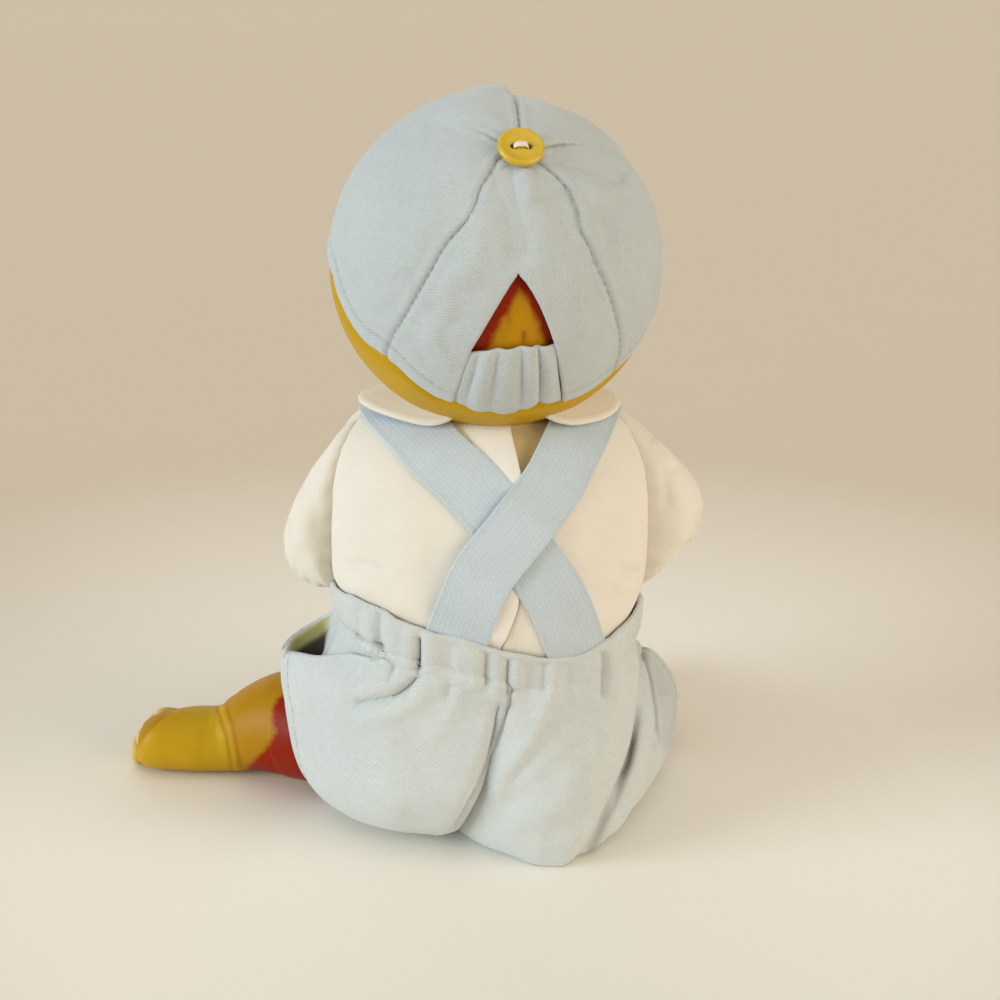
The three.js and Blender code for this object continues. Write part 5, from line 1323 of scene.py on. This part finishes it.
def trousers_right():
    zs = np.concatenate([np.full(3, 0.95), np.linspace(0.95, 12, 16), np.linspace(12, 74, 66)[1:]])
    j = np.concatenate([np.linspace(0, 1, 8), np.linspace(1, 8, 124)[1:], np.linspace(8, 11, 36)[1:]])
    P = np.zeros((len(zs), len(j), 3))
    flat = RIGHT_XY.reshape(len(RIGHT_Z), -1)
    for i, z in enumerate(zs):
        ring = smooth(np.array([z]), RIGHT_Z, flat)[0].reshape(12, 2)
        P[i, :, :2] = smooth(j, np.arange(12), ring)
        P[i, :, 2] = z
    for i, k in enumerate((0.35, 0.7, 0.94)):  # the underside
        P[i, :, :2] = V(-10, 4) + (P[3, :, :2] - V(-10, 4)) * k
    N = normals(P)
    mid = (40, 60)
    out = 1 if np.sum(N[mid] * (P[mid] - V(-10, 4, 35))) > 0 else -1
    soft = (0.7 * lumps(P, 22, 30) + 0.35 * lumps(P, 10, 33)) * ramp(P[..., 2], 0.95, 8)
    P = P + N * out * soft[..., None]
    P = sculpt(P, SEAT_FOLDS, False, out)
    P[..., 2] = np.maximum(P[..., 2], 0.95)
    _, lv = lengths(P, False)
    at = lv - lv[:, 7:8]
    seam_and_shade = 0.75 * np.exp(-((at / 1.0) ** 2))
    x, y = pixel(P)
    # painted shade down the pleat beside the centre-back seam and two gather valleys
    for line, w in (([(508.5, 700), (503, 728), (498, 744)], 1.8), ([(601.5, 660), (601, 696)], 1.6), ([(545, 668), (545, 690)], 1.4)):
        seam_and_shade = seam_and_shade + 0.5 * np.exp(-((stroke(x, y, line)[0] / w) ** 2)) * (P[..., 1] > 10)
    ob = slab("trousers_right_seat", P, 1.9, out=out, attrs={"seam_and_shade": np.clip(seam_and_shade, 0, 1)})
    place(ob, "torso", BLUE, ["pants_seat"])
    sheet(ob, 1.1)

    # right leg: its back end is tucked into the seat; u along the leg, outer, inner, low, high
    hip, a = V(-30, -4, 30.5), rad(19)
    d, n = V(-math.sin(a), -math.cos(a), 0), V(-math.cos(a), math.sin(a), 0)
    T = np.array([(-44, 2, 2, 6, 16), (-41, 9, 6, 2.2, 24), (-38, 13.2, 9, 1.2, 31), (-34, 16.2, 13, 0.9, 37), (-29, 18.4, 16.5, 0.9, 43), (-23, 20.8, 19, 0.8, 48), (-16, 24, 21.5, 0.7, 52.4), (-8, 26.2, 23, 0.6, 55.8),
                  (0, 27.4, 24, 0.6, 56.8), (8, 27.8, 24.4, 0.6, 55.6), (18, 28, 24.8, 0.7, 52.4), (28, 27.4, 24.8, 0.8, 48.8), (37, 26.2, 24.2, 0.9, 45.4), (43, 25.4, 23.8, 1.2, 44)])
    nv = 150
    u = np.concatenate([np.linspace(-44, 41, 104), 43 - V(1.5, 1.0, 0.55, 0.25, 0.1, 0)])
    Q = smooth(u, T[:, 0], T)
    f = np.linspace(0, 2 * np.pi, nv, endpoint=False)  # 0 outer side, 90 top
    c, sn = np.cos(f), np.sin(f)
    e = 2 / np.where(sn > 0, np.where(c > 0, 1.9, 2.6), np.where(c > 0, 3.8 + 5.0 * ramp(-Q[:, 0:1], 14, 32), 3.0))
    w = np.where(c > 0, Q[:, 1:2], Q[:, 2:3]) * spow(c, e)
    mid = np.minimum(29, 0.5 * (Q[:, 3:4] + Q[:, 4:5]))
    z = mid + np.where(sn > 0, Q[:, 4:5] - mid, mid - Q[:, 3:4]) * spow(sn, e)
    P = hip + d * Q[:, 0][:, None, None] + n * w[..., None]
    P[..., 2] = z
    N = normals(P, True)
    out = 1 if np.sum(N[60, 0] * n) > 0 else -1
    soft = (0.7 * lumps(P, 20, 36) + 0.4 * lumps(P, 9, 37)) * ramp(z, 0.9, 7)
    P = P + N * out * soft[..., None]
    P = sculpt(P, [([(641, 646), (644, 660), (649, 679), (653.6, 710), (655.5, 742)], -3.4, 3.2, 0.04), ([(637, 655), (643, 684), (648, 712), (650, 738)], 1.4, 5), ([(648, 655), (655, 684), (659, 712), (660, 738)], -1.0, 6), ([(664, 690), (669, 712), (668, 735)], 1.2, 6),
                   ([(650, 768), (632, 800), (606, 838)], 0.9, 8), ([(640, 745), (632, 775), (612, 812)], -0.8, 8)], True, out)
    P[..., 2] = np.maximum(P[..., 2], 0.95)
    x, y = pixel(P)
    low = (43 - u)[:, None] * np.ones(nv)
    seam_and_shade = 0.4 * np.exp(-(((low - 6.5) / 0.5) ** 2))
    # painted shade down the pocket's crease
    seam_and_shade = seam_and_shade + 0.8 * np.exp(-((stroke(x, y, [(642, 650), (649, 679), (653.6, 710), (655.5, 742)])[0] / 2.0) ** 2)) * (c > -0.2)
    # painted shade: a near-black slit beside the seat, and the turned-back panel of the side pocket darker
    off, along = stroke(x, y, [(637, 702), (634.5, 722), (631.5, 739), (626.5, 761), (619.5, 779), (610.5, 800), (600, 825), (590, 847)])
    deep = np.exp(-((off / 4.8) ** 2)) * (c > -0.6) * smooth(np.clip(along, 0, 1), [0, 0.15, 0.3, 0.5, 0.68, 1.0], [0.0, 0.55, 0.97, 0.95, 0.6, 0.35])
    side = x - np.interp(y, [637, 671, 707, 748, 760], [641, 650, 654, 657, 664])
    seam_and_shade = seam_and_shade + 0.32 * ramp(side, 0, 5) * ramp(y, 650, 690) * ramp(757 - y, 0, 12) * (c > 0.1)
    ob = slab("trousers_right_leg", P, 1.9, wrap=True, edges=(1, 1, 0, 0), out=out, attrs={"seam_and_shade": np.clip(seam_and_shade, 0, 1), "deep": deep})
    # the two ends of a bend, beside the seat and on the leg; the mesh stays where it is built
    bend = ("torso", "right_leg", tuple((hip - d * 18) * 0.001), tuple((hip + d * 22) * 0.001))
    place(ob, None, BLUE, ["right_pants_leg", "right_pocket"], bend)
    sheet(ob, 1.1)
    row = int(np.argmin(np.abs(low[:, 0] - 6.5)))
    Nn = normals(P, True) * out
    ring = np.concatenate([P[row], P[row, :1]]) + np.concatenate([Nn[row], Nn[row, :1]]) * 0.95
    place(stitches("trouser_hem_stitches_right", ring, np.concatenate([Nn[row], Nn[row, :1]]), 2.2, 1.8, 0.18, 0.06), "right_leg", PALE_THREAD)


LIP, FAR_LIP, LIP_ROWS, LEFT_BEND = trousers_left()
trousers_right()


def pocket_left():
    """Pouch from the near lip: open mouth at the outer end, then a panel that hangs from the band."""
    far = np.linspace(0, 1, len(FAR_LIP))
    kn = np.arange(len(LIP)) / (LIP_ROWS - 1)
    at = lambda q, k, line: V(*[np.interp(q, k, line[:, c]) for c in range(3)])
    tops = [at(q, far, FAR_LIP) for q in MOUTH_Q[:5]]
    lows = [m - V(2.5, 0, 25) for m in tops]
    for a in (6, 14, 26, 40):
        b = ring_at(a, 47.0, 40.8)
        tops.append(b + V(0, 0, BAND_LOW(b[0]) + 8.0))
        lows.append(ring_at(a, 47.6, 41.4) + V(0, 0, BAND_LOW(b[0]) - 5))
    tops, lows = np.array(tops), np.array(lows)
    uu, vv = steps(96, 0.01) * kn[-1], steps(60, 0.02)
    P = np.zeros((len(uu), len(vv), 3))
    deep, stain_and_reflection = np.zeros(P.shape[:2]), np.zeros(P.shape[:2])
    w = vv[:, None]
    bezier = lambda a, al, bl, b: (1 - w) ** 3 * a + 3 * w * (1 - w) ** 2 * al + 3 * w**2 * (1 - w) * bl + w**3 * b
    for i, q in enumerate(uu):
        a = at(q, kn, LIP) - V(0, 0, 0.5)
        b = at(q, far, FAR_LIP) - V(0, 0, 0.3) if q < MOUTH_Q[4] else smooth(min(q, 1.0), MOUTH_Q, tops)
        bl = smooth(min(q, 1.0), MOUTH_Q, lows)
        shut = 0.12 + 0.88 * ramp(q, 0.0, 0.14)
        pouch = bezier(a, a - V(3, 0, 24) * shut, b + (b - V(2.5, 0, 25) - b) * shut, b)
        panel = bezier(a, a + (b - a) * 0.22 - V(1.5, 1.5, 6.5), a + (bl - a) * 0.72, b)
        hang = ramp(q - 0.2 * vv, 0.18, 0.26)  # the panel's free edge slants out to the band
        P[i] = pouch + (panel - pouch) * hang[:, None]
        tip = ramp(q, 0.05, 0.13)
        # painted shade inside the pouch and under the hanging panel; painted yellow reflection on the inner face by the
        # far lip
        deep[i] = tip * (1 - hang) * ramp(vv, 0.01, 0.05) * ramp(0.95 - vv, 0, 0.03) + hang * ramp(0.16 - vv, 0, 0.12) * 0.6
        stain_and_reflection[i] = ramp(q, 0.07, 0.16) * (1 - hang) * ramp(vv, 0.90, 0.94)
    N = normals(P)
    P += N * (0.3 * lumps(P, 9, 41))[..., None] * (ramp(vv, 0, 0.1) * ramp(1 - vv, 0, 0.1))[None, :, None]
    N = normals(P)
    seen = 1 if N[int(0.2 * len(uu)), 30][2] > 0 else 0  # the face that looks into the pocket
    none = np.zeros(P.shape[:2])
    sides = lambda v: (v, none) if seen else (none, v)
    ob = slab("left_pocket_pouch", P, 1.5, attrs={"seam_and_shade": none, "deep": sides(np.clip(deep, 0, 1)), "stain_and_reflection": sides(stain_and_reflection)}, out=1)
    place(ob, None, BLUE, ["left_pocket"], LEFT_BEND)
    sheet(ob)


pocket_left()


# -------------------------------------------------------------------- the arms
def sleeve(side, s):
    nu, nv = 70, 150
    c, h = (V(53.0, -11, 92.0) if s > 0 else V(55.0, -13, 101.0)), unit(V(0.06, -0.8, -0.6))
    f = np.linspace(0, 2 * np.pi, nv, endpoint=False)  # 0 top, 90 front, 180 bottom, 270 back
    yA, zA = 2 - np.where(np.sin(f) > 0, 20.0, 13.5) * np.sin(f), 113.5 + np.where(np.cos(f) > 0, 29.0, 30.0) * np.cos(f)
    A = np.stack([np.maximum(shirt_side(yA, zA), 33) - 0.6, yA, zA], -1)
    e_up, e_back = V(0.6, -0.48, 0.64), V(0.8, 0.36, -0.48)
    wdir = np.cos(f)[:, None] * e_up + np.sin(-f)[:, None] * e_back
    H = c + 13.6 * wdir
    lat = 0.5 + 0.5 * np.clip(wdir[:, 0] / 1.0, -1, 1)  # 1 on the outer side
    back = np.clip(-np.sin(f), 0, 1)[:, None]
    topw = np.clip(np.cos(f), 0, 1)[:, None]
    P1 = A + V(1, 0, 0) * ((3 + (8.5 if s > 0 else 10) * lat)[:, None] * (1 - 0.5 * topw)) + V(0, 1, 0) * back * 6 + V(0, 0, 1) * topw * 0.5 - V(0, 0, 1) * np.clip(-np.cos(f), 0, 1)[:, None] * (3 if s > 0 else -1)
    P2 = H - h * (7 + 17 * lat)[:, None] + V(1, 0, 0) * (0.6 * lat)[:, None] + wdir * 1.5
    t = np.concatenate([np.linspace(0, 0.965, nu), V(0.975, 0.985, 0.992, 0.997, 1.0)])
    B = lambda q: (1 - q) ** 3 * A + 3 * q * (1 - q) ** 2 * P1 + 3 * q * q * (1 - q) * P2 + q**3 * H
    P = np.stack([B(q) for q in t])
    out = 1
    N = normals(P, True)
    if N[30, int(nv * 0.85)][0] < 0:
        out = -1
    tt = t[:, None]
    ph = f * 25 + 1.6 * np.sin(f * 3 + s) + 0.9 * np.sin(f * 7)
    g = 0.22 * np.exp(-(((tt - 0.06) / 0.07) ** 2)) * np.sin(ph) + 0.4 * np.exp(-(((tt - 0.9) / 0.1) ** 2)) * np.sin(f * 19 + 0.5)
    g = g + 0.7 * lumps(P, 15, 51 + s) + 0.35 * lumps(P, 7, 53 + s)
    g = g - 1.2 * np.exp(-((tt / 0.018) ** 2)) - 0.5 * np.exp(-(((tt - 0.93) / 0.012) ** 2))
    P = P + N * out * (g * ramp(1 - tt, 0, 0.06))[..., None]
    if s < 0:
        P[..., 0] *= -1
        P[..., 0] -= 1.4 * ramp(tt, 0.05, 0.5)
        P[..., 2] -= 0.6 * ramp(tt, 0.0, 0.3) * ramp(1 - tt, 0.0, 0.5)
        out = -out
    marks = [([(318, 560), (336, 566), (350, 572)], -1.2, 5), ([(300, 470), (296, 510), (305, 555)], 0.8, 10), ([(322, 440), (312, 490), (318, 545)], -0.7, 9)] if s > 0 else \
            [([(655, 571), (672, 570), (690, 566)], -0.8, 5), ([(672, 470), (684, 510), (680, 550)], 0.8, 10), ([(664, 460), (668, 510)], -0.7, 7), ([(650, 440), (662, 452), (670, 470)], 0.8, 6)]
    P = sculpt(P, marks, True, out)
    seam_and_shade = 0.75 * np.exp(-((tt / 0.022) ** 2)) + 0.35 * np.exp(-(((tt - 0.93) / 0.008) ** 2)) + 0 * P[..., 0]
    ob = slab("sleeve_puffed_" + side, P, 1.3, wrap=True, edges=(1, 1, 0, 0), out=out, attrs={"seam_and_shade": np.clip(seam_and_shade, 0, 1)})
    sh = V(46 * s, 3, 122) * 0.001
    bend = ("torso", side + "_arm", tuple(sh - V(s * 0.004, 0, 0)), tuple(sh + V(s * 0.012, 0, 0)))
    place(ob, None, CREAM, [side + "_sleeve"], bend)
    sheet(ob, 1.2)


def arm(side, s):
    m = lambda x, y, z, a, b: (s * x, y, z, a, b)
    P = limb([m(49.5, 2.6, 121, 0.01, 0.01), m(49.8, 2.6, 120.2, 4.0, 4.0), m(50.6, 2.4, 117, 6.0, 6.0), m(52, 1.6, 112, 7.0, 7.0), m(53.6, 0.2, 107.5, 7.6, 7.6),
              m(55.0, -2.8, 102.6, 7.8, 7.8), m(55.5, -6.4, 98, 7.4, 7.4), m(55.5, -9.6, 95.4, 6.8, 6.8), m(55.5, -9.9, 95.1, 0.01, 0.01)], 44, 36)
    P += unit(P - V(55.4 * s, 1, 114)) * (0.35 * lumps(P, 6, 61))[..., None]
    ob = skin(side + "_upper_arm_stuffed", P, attrs={"seam_and_shade": np.zeros(P.shape[:2])}, out=1)
    place(ob, side + "_arm", BODY, [side + "_upper_arm"])
    d = unit(V(-0.04 * s, -0.88, -0.47))
    o = V(55.5 * s, -10, 95)
    bow = lambda k: (s > 0) * float(ramp(k, 1, 12))  # clear of the waistband, which is higher on the left
    al = lambda k, dx=0, dz=0: o + d * k + V(s * (dx + 4.3 * bow(k)), 0, dz + 2.7 * bow(k))
    sec = [(al(-6), 0.01, 0.01), (al(-5.6), 4.6, 4.6), (al(-2), 6.6, 6.6), (al(3), 7.8, 7.8), (al(9), 8.9, 8.8), (al(15), 8.8, 8.7), (al(21), 8.1, 8), (al(27), 7, 6.8), (al(30.4), 6.3, 6.0),
           (al(32), 5.9, 5.6), (al(33.6), 6.4, 5.7), (al(38), 7.8, 5.8), (al(43), 8.8, 5.6), (al(47), 8.6, 5.0), (al(49.6), 7.2, 3.9), (al(50.8), 4.5, 2.4), (al(51.2), 0.01, 0.01)]
    P = limb([(*q, a, b) for q, a, b in sec], 90, 44)
    tint = np.zeros((*P.shape[:2], 4))
    # painted shade: dark red at the elbow end inside the sleeve and along the wrist crease
    tint[..., :3] = V(0.30, 0.01, 0.0)
    k = (P - o) @ d
    tint[..., 3] = 0.85 * ramp(6 - k, 0, 10) + 0.5 * np.exp(-(((k - 31.6) / 0.9) ** 2))
    obs = [skin("fore", P, tint=np.clip(tint, 0, 1))]
    digits = []
    for i in range(4):
        dx = -5.5 + 3.7 * i
        tip = 55.2 - 0.8 * abs(i - 1.4)
        digits.append([(al(43, dx * 0.9), 0.01, 0.01), (al(44, dx * 0.95), 2.0, 2.6), (al(48.5, dx, -0.6), 2.15, 2.4), (al(51, dx, -1.4), 1.95, 2.15), (al(53, dx, -2.0), 1.9, 2.0),
                       (al(tip - 0.6, dx, -2.9), 1.3, 1.4), (al(tip, dx, -3.1), 0.01, 0.01)])
    digits.append([(al(34, -3.4), 0.01, 0.01), (al(35.5, -4.6), 2.6, 2.8), (al(40, -8.2, -0.6), 2.6, 2.6), (al(43.6, -10, -1.2), 2.3, 2.3), (al(46, -10.6, -1.8), 1.7, 1.7), (al(47.2, -10.8, -2.1), 0.01, 0.01)])
    for q in digits:
        D = limb([(*c, a, b) for c, a, b in q], 34, 20)
        ti = np.zeros((*D.shape[:2], 4))
        ti[..., :3] = V(0.34, 0.05, 0.0)
        tipq = np.linspace(0, 1, 34)[:, None]
        upw = (D[..., 2] - D[..., 2].mean(1, keepdims=True))
        ti[..., 3] = 0.35 * ramp(0.3 - tipq, 0, 0.2) + 0.28 * ramp(tipq, 0.86, 0.95) + 0 * upw
        obs.append(skin("digit", D, tint=ti))
    ob = join(side + "_forearm_vinyl", obs)
    place(ob, side + "_hand", SKIN, [side + "_forearm"])


for side, s in (("left", 1), ("right", -1)):
    sleeve(side, s)
    arm(side, s)


# -------------------------------------------------------------------- the legs
def leg(side, s, splay, bendsign):
    hip = V(30 * s, -4, 30.5)
    d = V(s * math.sin(rad(splay)), -math.cos(rad(splay)), 0)
    n = V(s * math.cos(rad(splay)), math.sin(rad(splay)), 0)
    Pt = lambda u, v, w: hip + d * u + n * v * bendsign + V(0, 0, w)
    sec = lambda rows: [(*Pt(u, v, w), a, b) for u, v, w, a, b in rows]
    P = limb(sec([(-25.4, 0, 0, 0.01, 0.01), (-24.6, 0, 0, 5, 5), (-22, 0, 0, 12, 12), (-16, 0, 0, 19, 19), (-8, 0, 0, 23.6, 23.6), (2, 0, 0, 24.2, 24.2), (9, 0, -2, 22, 22), (15, 0, -5.5, 18.4, 18.4),
                   (20, 0, -8.4, 15.6, 15.6), (26, 0, -9.8, 14.2, 14.2), (29, 0, -10, 13.6, 13.6), (34.5, 0, -10, 12.4, 12.4), (35, 0, -10, 0.01, 0.01)]), 60, 48)
    P += unit(P - hip) * (0.5 * lumps(P, 9, 71))[..., None]
    ob = skin(side + "_thigh_stuffed", P, attrs={"seam_and_shade": np.zeros(P.shape[:2])})
    place(ob, side + "_leg", BODY, [side + "_thigh"])
    if s > 0:
        rows = [(25, 0, -10.6, 0.01, 0.01), (25.4, 0, -10.6, 13, 13), (28, 0, -10.7, 17.6, 17.6), (34, 0, -10.8, 18.6, 18.8), (40, 0.2, -11, 18.7, 19), (46, 1.0, -11.6, 18.2, 18.6), (51, 2.6, -12.8, 17.2, 17.5),
                (56, 4.4, -14.4, 15.6, 15.8), (60, 6, -16, 14, 14.1), (64, 7.9, -17.8, 12.7, 12.7),
                (68, 9.7, -18.8, 12.1, 11.7), (72, 11.6, -19.2, 12.2, 11.4), (76, 13.6, -19.2, 12.6, 11.3), (82, 16.5, -19.2, 12.7, 11.2), (87.5, 19.2, -19.3, 12.3, 11.0), (91.5, 21.2, -19.4, 11.2, 10.6),
                (94.6, 22.7, -19.6, 9.2, 9.4), (96.4, 23.6, -19.8, 6.4, 7.0), (97.2, 24, -20, 0.01, 0.01)]
    else:
        rows = [(31, 0, -10.2, 0.01, 0.01), (31.4, 0, -10.2, 12, 12), (34, 0, -10.2, 16.2, 16.2), (40, 0.2, -10.8, 17.4, 17.6), (46, 1.0, -11.6, 17.6, 18), (51, 2.6, -12.8, 16.9, 17.3),
                (56, 4.4, -14.4, 15.4, 15.7), (60, 6, -16, 13.9, 14.1), (64, 7.9, -17.8, 12.6, 12.6),
                (68, 9.7, -18.8, 12.0, 11.6), (72, 11.6, -19.2, 12.1, 11.3), (76, 13.6, -19.2, 12.5, 11.2), (82, 16.5, -19.2, 12.6, 11.1), (87.5, 19.2, -19.3, 12.2, 10.9), (91.5, 21.2, -19.4, 11.1, 10.5),
                (94.6, 22.7, -19.6, 9.1, 9.3), (96.4, 23.6, -19.8, 6.3, 6.9), (97.2, 24, -20, 0.01, 0.01)]
    P = limb(sec(rows), 170, 72)
    u = (P - hip) @ d
    z = P[..., 2]
    px, py = pixel(P)
    N = normals(P, True)
    N = N * np.sign(np.sum(N[80, 0] * (P[80, 0] - P[80].mean(0))))
    face = ramp(np.sum(N * unit(EYE - P), -1), -0.05, 0.3)
    if s > 0:  # two slanting creases at the ankle
        crease = sum(np.exp(-((stroke(px, py, ln)[0] / 1.7) ** 2)) for ln in ([(215, 701), (221, 720), (227, 737), (232, 769)], [(224.5, 699), (231, 722), (236, 742), (241, 766)])) * face
    else:
        crease = sum(np.exp(-(((u - 0.3 * (z - 12) - c0) / 0.6) ** 2)) for c0 in (64.6, 68.2))
    P = P - N * (0.32 * crease)[..., None]
    # the row of toes slants back towards the little toe
    P = P - d * (0.45 * np.maximum(z - 6, 0) * ramp(u, 76, 96))[..., None]
    P[..., 2] = np.maximum(P[..., 2], 0.5)
    tint = np.zeros((*P.shape[:2], 4))
    if s > 0:
        calf = 0.66 * ramp(px - np.interp(py, [700, 735, 768], [220, 228, 237]), -5, 12)
    else:
        calf = 0.66 * ramp(70 - u + 0.3 * (z - 12), 0, 9)
    # painted shade: dark red in the ankle creases and across the root of the toes
    line = 0.4 * np.clip(crease, 0, 1)
    end = 0.4 * ramp(u + 0.45 * np.maximum(z - 6, 0), 94.0, 96.5)
    # painted red shade on the calf's shaded side near the trouser hem
    if s > 0:
        edge = np.interp(py, [666, 695, 707, 734, 749, 765, 777], [286, 277, 268, 271, 262, 245, 246])
        red_painted_shade = np.clip(0.5 + (px - edge) / 30, 0, 1) * ramp(N[..., 1], 0.22, 0.55)
    else:
        red_painted_shade = np.clip(0.5 + (42 - u + 0.3 * (16 - z)) / 12, 0, 1)
    dark = np.clip(line + end, 0, 1)
    a = calf + dark * (1 - calf)
    tint[..., :3] = (V(0.40, 0.165, 0.002) * (calf * (1 - dark))[..., None] + V(0.26, 0.05, 0.0) * dark[..., None]) / np.maximum(a, 1e-6)[..., None]
    tint[..., 3] = a
    obs = [skin("shank", P, tint=tint, attrs={"red_painted_shade": red_painted_shade})]
    for w, r, uu in [(-24.9, 4.9, 98.2), (-20.2, 3.6, 96.2), (-16.6, 3.0, 94.2), (-13.7, 2.5, 92.0), (-11.5, 2.1, 90.0)]:
        v0, t = (uu - 96) * 0.5 + 20, 4.0 + 0.55 * r  # side offset, half thickness
        D = limb(sec([(uu - 8, v0 - 2, w, 0.01, 0.01), (uu - 6.8, v0 - 1.5, w, t * 0.78, r * 0.75), (uu - 4.6, v0 - 0.5, w, t * 0.95, r * 0.95), (uu - 2.4, v0 + 0.5, w, t, r * 1.05),
                      (uu - 0.6, v0 + 1.3, w, t * 0.86, r * 0.98), (uu + 0.7, v0 + 1.9, w, t * 0.55, r * 0.68), (uu + 1.5, v0 + 2.3, w, 0.01, 0.01)]), 34, 28)
        D[..., 2] = np.maximum(D[..., 2], 0.5)
        ti = np.zeros((*D.shape[:2], 4))
        k = np.linspace(0, 1, 34)[:, None] * np.ones(28)
        # painted shade, dark red, at each toe's root; paler cream tips
        ti[..., :3] = np.where((k > 0.5)[..., None], V(0.84, 0.68, 0.40), V(0.26, 0.04, 0.0))
        ti[..., 3] = 0.6 * ramp(0.44 - k, 0, 0.22) + 0.5 * ramp(k, 0.55, 0.85)
        obs.append(skin("toe", D, tint=ti, attrs={"red_painted_shade": np.zeros(D.shape[:2])}))
    ob = join(side + "_lower_leg_vinyl", obs)
    place(ob, side + "_foot", SKIN, [side + "_lower_leg"])


leg("left", 1, 58.6, 1)
leg("right", -1, 19, -1)

for n in ("neck_tie", "left_arm_tie", "right_arm_tie", "left_leg_tie", "right_leg_tie"):
    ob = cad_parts[n]
    ob.data.materials.clear()
    ob.data.materials.append(TIE)

# ------------------------------------------------------- floor, light, camera
me = bpy.data.meshes.new("floor")
me.from_pydata([(-4, -4, 0), (4, -4, 0), (4, 4, 0), (-4, 4, 0)], [], [(0, 1, 2, 3)])
floor = bpy.data.objects.new("floor", me)
scene.collection.objects.link(floor)
m, nt, bsdf = material("pale_floor", 0.7, Specular_IOR_Level=0.2)
tc = nt.nodes.new("ShaderNodeTexCoord")
vl = node(nt, "ShaderNodeVectorMath", operation="LENGTH")
nt.links.new(tc.outputs["Object"], vl.inputs[0])
far = calc(nt, "SMOOTH_MIN", calc(nt, "MAXIMUM", calc(nt, "MULTIPLY_ADD", vl.outputs["Value"], 4.5, -0.72), 0.0), 1.0, 0.1)
tone = calc(nt, "ADD", far, calc(nt, "MULTIPLY_ADD", grain(nt, 60.0, 3.0), 0.05, -0.03))
nt.links.new(blendrgb(nt, tone, (0.95, 0.91, 0.83), (0.72, 0.62, 0.50)), bsdf.inputs["Base Color"])
me.materials.append(m)

world = bpy.data.worlds.new("studio")
world.use_nodes = True
world.node_tree.nodes["Background"].inputs["Color"].default_value = (1.0, 0.91, 0.77, 1)
world.node_tree.nodes["Background"].inputs["Strength"].default_value = 0.35
scene.world = world


def sun(name, way, strength, spread, colour):
    li = bpy.data.lights.new(name, "SUN")
    li.energy, li.angle, li.color = strength, rad(spread), colour
    ob = bpy.data.objects.new(name, li)
    ob.rotation_euler = Vector(way).to_track_quat("Z", "Y").to_euler()
    scene.collection.objects.link(ob)


# broad cool light from the left behind the camera, warm from the right, weak from above
sun("key_cool", (0.90, 0.36, 0.24), 2.25, 34, (0.80, 0.93, 1.0))
sun("fill_warm", (-0.85, 0.50, 0.24), 1.75, 48, (1.0, 0.91, 0.75))
sun("top_soft", (0.0, 0.3, 1.0), 0.45, 60, (1.0, 0.95, 0.86))
sun("front_soft", (0.15, -0.95, 0.2), 0.75, 70, (1.0, 0.94, 0.84))

cam = bpy.data.cameras.new("camera")
cam.sensor_width, cam.lens = 36.0, 72.0
cam.clip_start, cam.clip_end = 0.05, 20
co = bpy.data.objects.new("camera", cam)
scene.collection.objects.link(co)
R = np.stack([RIGHT, UP, BACK], 1)
co.matrix_world = Matrix([[*R[0], EYE[0] * 0.001], [*R[1], EYE[1] * 0.001], [*R[2], EYE[2] * 0.001], [0, 0, 0, 1]])
scene.camera = co
scene.view_settings.view_transform = "Standard"

bpy.context.view_layer.update()
